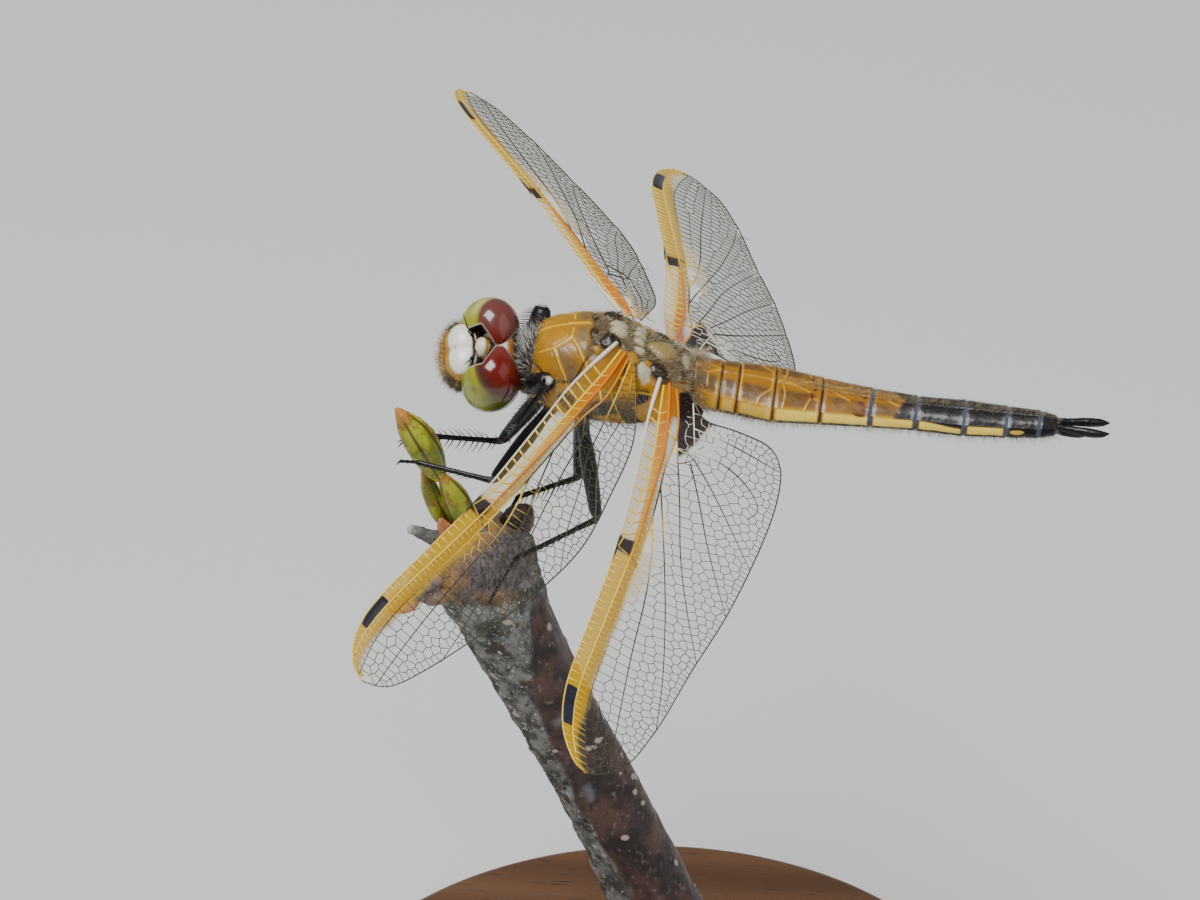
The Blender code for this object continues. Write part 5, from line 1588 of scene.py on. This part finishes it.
for word, side in (("left", -1), ("right", 1)):
    ways, faces = ball_ways(EYE_ROWS, EYE_COLUMNS)
    reach = 1 / np.sqrt(((ways / EYE_RADII) ** 2).sum(axis=1))
    inward = unit(np.array((0.40, -1.9 * side, 1.72)))
    bulge = np.arccos(np.clip(ways @ inward, -1, 1))
    reach = reach * (1 + EYE_BULGE * np.exp(-(bulge / BULGE_WIDTH) ** 2))
    skin = ways * reach[:, None] + np.array((-0.10, side * EYE_OFFSET, 0))
    x, y, z = skin.T
    opening = 1.45 * np.clip(-0.04 - x, 0, 0.95) * rise(z, -1.0, 0.4)
    opening += 1.25 * np.clip(x - 0.5, 0, None) + 0.03 - side * EYE_SEAM
    gap = side * y - opening
    skin[:, 1] = side * np.maximum(side * y, opening)
    x, y, z = skin.T
    outer = side * y
    up = 0.50 * x + 0.866 * z - (0.24 if side > 0 else 0.10) * (outer - 1.9)
    mauve = 0.8 * rise(outer, 0.2, 1.4) if side > 0 else 0.55 * rise(outer, 1.5, 0.5)
    spot = ((x + 1.37) / 0.22) ** 2 + ((z - 1.16) / 0.26) ** 2 + ((outer - 2.9) / 0.4) ** 2
    masks = {
        "cap": np.clip((up - 0.62 - 0.38 * (side > 0)) / 1.15, 0, 1), "mauve": rise(up, 0.9, 1.6) * mauve,
        "front": rise(x, 0.3, -1.5) * rise(z, -1.8, 0.6), "spot": 0.8 * np.exp(-spot),
        "pale": 0.8 * rise(up, -0.2, 0.9) * rise(outer, 1.6, 2.6) * (side > 0),
        "rim": 0.9 * np.exp(-((gap - 0.05) / 0.05) ** 2) * rise(z, 0.4, 1.2),
        "wall": rise(gap, 0.01, -0.04),
    }
    eye = build(f"eye_{word}_facets", in_head(skin), faces, eye_finish, masks)
    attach(eye, "root")
    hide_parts(f"eye_{word}")

    foot = np.array((-1.50, side * 0.72, 1.02))
    path = foot + np.outer(FEELER_LENGTHS, (-0.42, side * 0.62, 0.66))
    path[4:, 2] += (0.03, 0.10, 0.2)
    points, faces = limb(path, FEELER_RADII, sides=12, gap=0.03, rough_by=0.004)
    feeler = build(f"antenna_{word}_bristle", in_head(points), faces, black_shell)
    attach(feeler, "root")
    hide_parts(f"antenna_{word}")

beads = Bundle()
ways, faces = ball_ways(18, 24)
for centre in BEAD_CENTRES:
    beads.add(in_head(np.array(centre) + ways * BEAD_RADIUS), faces, cap=0.2, rim=0.25)
ocelli = beads.build("simple_eyes", eye_finish)
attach(ocelli, "root")

# ------------------------ legs
# Six black legs with two rows of long stiff spines, made to snatch insects in flight. Each leg is one
# skin from hip to foot, and its pair of hooked claws is a piece of its own.
LEGS = (  # name, hip, knee, ankle and claws
    ("fore_left", (-7.0, -1.0, -1.3), (-5.6, -3.35, 0.8), (-7.3, -4.0, -2.6), (-7.7, -3.0, -4.3)),
    ("fore_right", (-7.0, 1.0, -0.9), (-6.7, 2.95, 2.5), (-7.7, 4.0, -0.6), (-7.6, 3.2, -2.6)),
    ("mid_left", (-4.9, -1.5, -1.9), (-8.35, -3.2, -7.98), (-13.5, -1.9, -8.3), (-14.6, -0.9, -9.1)),
    ("mid_right", (-4.9, 1.5, -1.9), (-8.14, 3.2, -9.2), (-13.1, 1.95, -8.75), (-14.6, 0.9, -8.7)),
    ("hind_left", (-3.2, -1.5, -2.6), (-1.08, -3.6, -9.56), (-6.1, -3.75, -13.7), (-7.4, -4.0, -17.4)),
    ("hind_right", (-3.2, 1.5, -2.6), (-2.6, 3.6, -11.5), (-6.5, 3.75, -14.0), (-7.3, 4.0, -17.0)),
)
LEG_SEED = 23
ELBOW = 0.30
LEG_RADII = (
    0.46, 0.48, 0.42, 0.56, 0.42, 0.28, 0.23, 0.185, 0.175, 0.185, 0.12, 0.13, 0.095, 0.125, 0.09, 0.13)
FORE_THIGH, KNEE_HIGHLIGHT_SIZE = 1.45, 0.30
CLAW_AIM = np.array((-12.0, 0.0, -14.0))
THORN_SHAPE = ((0.0, 0.35, 0.7, 1.0), (1.0, 0.8, 0.5, 0.12))  # shares along it and of its radius
CLAW_ROWS, CLAW_RADIUS = 9, 0.075


def thorn(foot, way, bend, length, radius):
    """A bristle that tapers from its foot and bends over as it goes."""
    way, bend = np.asarray(way, float), np.asarray(bend, float)
    share, girth = np.array(THORN_SHAPE)
    path = foot + np.outer(share * length, way) + np.outer(share ** 2 * length, bend)
    return strut(path, radius * girth, np.tile((0.1, 0.2, 1.0), (len(path), 1)), 4)


rng = np.random.default_rng(LEG_SEED)
for name, hip, knee, ankle, claws in LEGS:
    hip, knee, ankle, claws = (np.array(joint, float) for joint in (hip, knee, ankle, claws))
    thigh, shin, foot = knee - hip, ankle - knee, claws - ankle
    path = np.vstack((
        hip - thigh * 0.05, hip + thigh * 0.10, hip + thigh * 0.20, hip + thigh * 0.5,
        knee - thigh * 0.10, knee - unit(thigh) * ELBOW * 0.5, knee + unit(shin) * ELBOW,
        knee + shin * 0.25, knee + shin * 0.65, ankle - shin * 0.04, ankle + foot * 0.10,
        ankle + foot * 0.34, ankle + foot * 0.42, ankle + foot * 0.66, ankle + foot * 0.74, claws))
    fore = name.startswith("fore")
    radii = tuple(FORE_THIGH * radius for radius in LEG_RADII[:5]) + LEG_RADII[5:] if fore else LEG_RADII
    points, faces = limb(path, radii, sides=20, gap=0.09, rough_by=0.015)
    # A pale spot on top of each knee is a painted highlight: strong on the forelegs, faint on the others.
    knee_highlight_centre = knee + np.array((0.0, -0.1, 0.18))
    knee_highlight = np.exp(-(np.linalg.norm(points - knee_highlight_centre, axis=1) / KNEE_HIGHLIGHT_SIZE) ** 4)
    pale = knee_highlight * (0.95 if fore else 0.12)
    leg = Bundle()
    leg.add(points, faces, pale=pale, brown=rise(np.linalg.norm(points - hip, axis=1), 1.2, 0.4) * 0.5)
    fold = unit(np.cross(thigh, shin))
    for start, run, count, tall, thick in (
        (hip, thigh, 13, 0.55, 0.046), (knee, shin, 12, 1.05, 0.052), (ankle, foot, 6, 0.42, 0.032)
    ):
        along = unit(run)
        under = np.cross(along, fold)
        inner = hip + thigh * 0.6 + shin * 0.5 - (start + run * 0.5)
        under *= np.sign(under @ inner) or 1.0
        for row in (-1, 1):
            for k in range(count):
                share = (k + 0.6 + 0.3 * rng.uniform(-1, 1)) / count
                if start is hip and share < 0.3:
                    continue
                size = tall * rng.uniform(0.8, 1.15) * math.sin(math.pi * (0.18 + 0.70 * share))
                lean = unit(along * 0.40 + under * (0.35 if start is hip else -0.16) + fold * row * 0.85)
                root = start + run * share + (under * 0.2 + fold * row * 0.7) * 0.15
                leg.add(*thorn(root, lean, along * 0.16, size, thick), pale=0.0, brown=0.1)
    leg = leg.build(f"leg_{name}", black_shell, in_body)
    leg_claws = Bundle()
    ahead = unit(foot)
    down = np.cross(ahead, fold)
    down *= np.sign(down @ (CLAW_AIM - claws)) or 1.0
    for row in (-1, 1):
        turns = np.linspace(0, 1, CLAW_ROWS)
        path = (claws + np.outer(np.sin(turns * 1.5) * 0.42, ahead * 0.9 + fold * row * 0.55)
                + np.outer((1 - np.cos(turns * 1.9)) * 0.30, down))
        above = np.tile((0.1, 0.3, 1.0), (CLAW_ROWS, 1))
        leg_claws.add(*strut(path, CLAW_RADIUS * (1.02 - turns) ** 0.7, above, 8), brown=0.6)
    leg_claws = leg_claws.build(f"claws_{name}", black_shell, in_body)
    for piece in (leg, leg_claws):
        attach(piece, "root")
        piece.data.set_sharp_from_angle(angle=math.radians(60))
    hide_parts(f"femur_{name}", f"tibia_{name}", f"tarsus_{name}")

# ------------------------ hair
# Soft pale hair clothes the thorax, stands in a grey ruff behind the head and fringes the abdomen. The
# face has short gold and black bristles. Each hair is a thin solid bristle.
BAKE_PATCH = 0.003
HAIR_LEVELS = ((-0.03, 1.0), (0.45, 0.75), (1.0, 0.12))  # share of its length and of its radius


def grow(name, roots, ways, bends, lengths, radius, places, shade, material):
    """Hairs as one mesh: each bends over as it goes and holds its own patch of the skin's unwrap."""
    count = len(roots)
    lengths = np.asarray(lengths, float)[:, None]
    ways = unit(ways)
    side = unit(np.cross(ways, (0.31, 0.17, 0.93)))
    other = np.cross(ways, side)
    rings = []
    for share, girth in HAIR_LEVELS:
        middle = roots + ways * lengths * share + bends * lengths * share ** 2
        for k in range(3):
            turn = math.tau * k / 3
            rings.append(middle + (side * math.cos(turn) + other * math.sin(turn)) * radius * girth)
    points = np.stack(rings, axis=1).reshape(-1, 3)
    one = [corner for row in (0, 3) for k in range(3) for corner in (
        (row + k, row + (k + 1) % 3, row + 3 + k), (row + (k + 1) % 3, row + 3 + (k + 1) % 3, row + 3 + k))]
    one += [(0, 2, 1), (6, 7, 8)]
    faces = (np.array(one)[None] + 9 * np.arange(count)[:, None, None]).reshape(-1, 3)
    masks = {"shade": np.repeat(shade, 9), "reach": np.tile(np.repeat((0.0, 0.5, 1.0), 3), count)}
    piece = build(name, in_body(points), faces.tolist(), material, masks)
    corner = np.tile(np.array([((k % 3) / 2 - 0.5, (k // 3) / 2 - 0.5) for k in range(9)]), (count, 1))
    place = np.repeat(places, 9, axis=0) + corner * BAKE_PATCH
    unwrap = piece.data.uv_layers.new(name="OFBake")
    unwrap.data.foreach_set("uv", place[faces.ravel()].astype(np.float32).ravel())
    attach(piece, "root")


def scatter(points, rows, columns, weight, count, rng):
    """Roots drawn over a closed grid by weight, with the way out and the place on its unwrap."""
    grid = points.reshape(rows, columns, 3)
    area = np.linalg.norm(np.cross(np.gradient(grid, axis=0), np.roll(grid, -1, 1) - grid), axis=2).ravel()
    chance = area * weight
    chosen = rng.choice(len(points), size=count, p=chance / chance.sum())
    jitter = rng.uniform(-0.5, 0.5, (count, 2))
    out = grid_normals(points, rows, columns)[chosen]
    row, column = chosen // columns, chosen % columns
    step_row = np.gradient(grid, axis=0)[row, column]
    step_column = (np.roll(grid, -1, 1) - np.roll(grid, 1, 1))[row, column] / 2
    roots = points[chosen] + step_row * jitter[:, :1] + step_column * jitter[:, 1:]
    places = np.column_stack(((column + jitter[:, 1] + 0.5) / columns, (row + jitter[:, 0] + 0.5) / rows))
    return roots, out, np.clip(places, 0.002, 0.998), chosen


strand, given, given_back = new_group(  # pale or dark hairs, paler to their tips and uneven along
    "hair_strand",
    (("Place", "Vector"), ("Shade", "Float"), ("Reach", "Float"),
     ("Pale", "Color"), ("Dark", "Color"), ("Tip", "Color")),
    (("Colour", "Color"), ("Ridges", "Float")))
colour = blend(strand, given["Shade"], given["Pale"], given["Dark"])
uneven = times(strand, grain(strand, given["Place"], 1700.0), 0.3)
tip_share = scaled(strand, given["Reach"], 0.4, uneven)
tip_share = times(strand, tip_share, scaled(strand, given["Shade"], -0.8, 1.0))
strand.links.new(blend(strand, tip_share, colour, given["Tip"]), given_back["Colour"])
strand.links.new(grain(strand, given["Place"], 9000.0), given_back["Ridges"])


def hair_material(name, pale, dark, tip):
    """A finish for hair whose shade mask picks pale or dark strands."""
    material, tree, shader, where = new_material(name, roughness=0.5, sheen_weight=0.25)
    made = through(tree, strand, {
        "Place": where, "Shade": attribute(tree, "shade"), "Reach": attribute(tree, "reach"),
        "Pale": (*pale, 1.0), "Dark": (*dark, 1.0), "Tip": (*tip, 1.0)})
    connect(shader, Base_Color=made["Colour"], Normal=bump(tree, made["Ridges"], 0.004))
    return material


soft_hair = hair_material("soft_hair", (0.40, 0.32, 0.18), (0.012, 0.010, 0.009), (0.62, 0.54, 0.34))
neck_hair = hair_material("neck_hair", (0.66, 0.63, 0.56), (0.005, 0.005, 0.005), (0.78, 0.75, 0.68))
face_hair = hair_material("face_hair", (0.78, 0.50, 0.12), (0.012, 0.010, 0.009), (0.90, 0.72, 0.36))


def coat(name, points, rows, columns, weight, count, length, lean, spread, radius, dark, material, seed):
    """A coat over a closed grid. Length and dark hold one value, or one for each of the grid's points."""
    rng = np.random.default_rng(seed)
    roots, out, places, chosen = scatter(points, rows, columns, weight, count, rng)
    lengths = np.broadcast_to(length, len(points))[chosen] * rng.uniform(0.6, 1.15, count)
    shade = rng.uniform(0, 1, count) < np.broadcast_to(dark, len(points))[chosen]
    lean = np.array(lean)
    ways = out + lean + spread * rng.normal(0, 1, (count, 3))
    bends = 0.45 * lean + 0.25 * rng.normal(0, 1, (count, 3))
    grow(name, roots, ways, bends, lengths, radius, places, shade.astype(float), material)


x, y, z = thorax_points.T
front = rise(x, -6.3, -6.8)
flank = rise(z, 1.2, 0.2) * rise(z, -3.0, -2.2)
furrows = thorax_grout * 0.9 + thorax_between * 0.08
weight = 0.08 + 0.7 * front + 0.30 * flank + 1.3 * furrows + 1.6 * rise(x, 2.9, 3.5)
coat("coat_thorax", thorax_points, THORAX_ROWS, THORAX_COLUMNS, weight, 7000,
     0.34 + 0.20 * front + 0.30 * flank + 0.14 * furrows, (0.35, 0.0, -0.1), 0.22, 0.0085,
     0.10 + 0.35 * front + 0.25 * furrows, soft_hair, 31)
coat("coat_neck", neck_points, NECK_ROWS, NECK_COLUMNS, rise(neck_points[:, 2], -1.6, 0.2) + 0.25, 1150,
     0.90, (-0.15, 0.35, 0.40), 0.10, 0.031, 0.62, neck_hair, 32)
low = np.exp(-((abdomen_aside - 0.97) / 0.05) ** 2) * (abdomen_upper < 0.1)
ridge = np.exp(-(abdomen_aside / 0.14) ** 2) * (abdomen_upper > 0) * rise(abdomen_x, 8, 13)
root = rise(abdomen_x, 5.2, 4.0)
weight = 0.05 + 2.4 * low + 2.2 * ridge + 2.2 * root
coat("coat_abdomen", abdomen_points, ABDOMEN_ROWS, ABDOMEN_COLUMNS, weight, 9000,
     0.24 + 0.26 * low + 0.26 * ridge + 0.5 * root, (0.24, 0.0, 0.0), 0.20, 0.0075,
     0.10 + 0.5 * rise(abdomen_x, 17, 19) * (1 - ridge), soft_hair, 33)
x, y, z = head_shape.T
back = rise(x, 1.15, 1.55) * (1 - 0.6 * rise(z, 1.1, 1.4))
chin = rise(x, -1.2, -1.9) * rise(z, 0.35, 0.0)
brows = rise(x, -1.5, -2.0) * rise(z, 0.4, 0.6) * (1 - head_white)
sides = rise(np.abs(y), 1.15, 1.75)
coat("coat_head", head_points, HEAD_ROWS, HEAD_COLUMNS, 1.3 * back + 0.02, 900, 0.45, (0.1, 0, 0.3),
     0.20, 0.022, 0.6, neck_hair, 34)
coat("coat_face", head_points, HEAD_ROWS, HEAD_COLUMNS, chin * (1 + sides) + 0.35 * brows + 0.01, 2800,
     0.34 + 0.12 * chin, (-0.1, 0, 0.1), 0.22, 0.012, 0.12 + 0.75 * sides + 0.3 * rise(z, -0.8, -1.6),
     face_hair, 35)
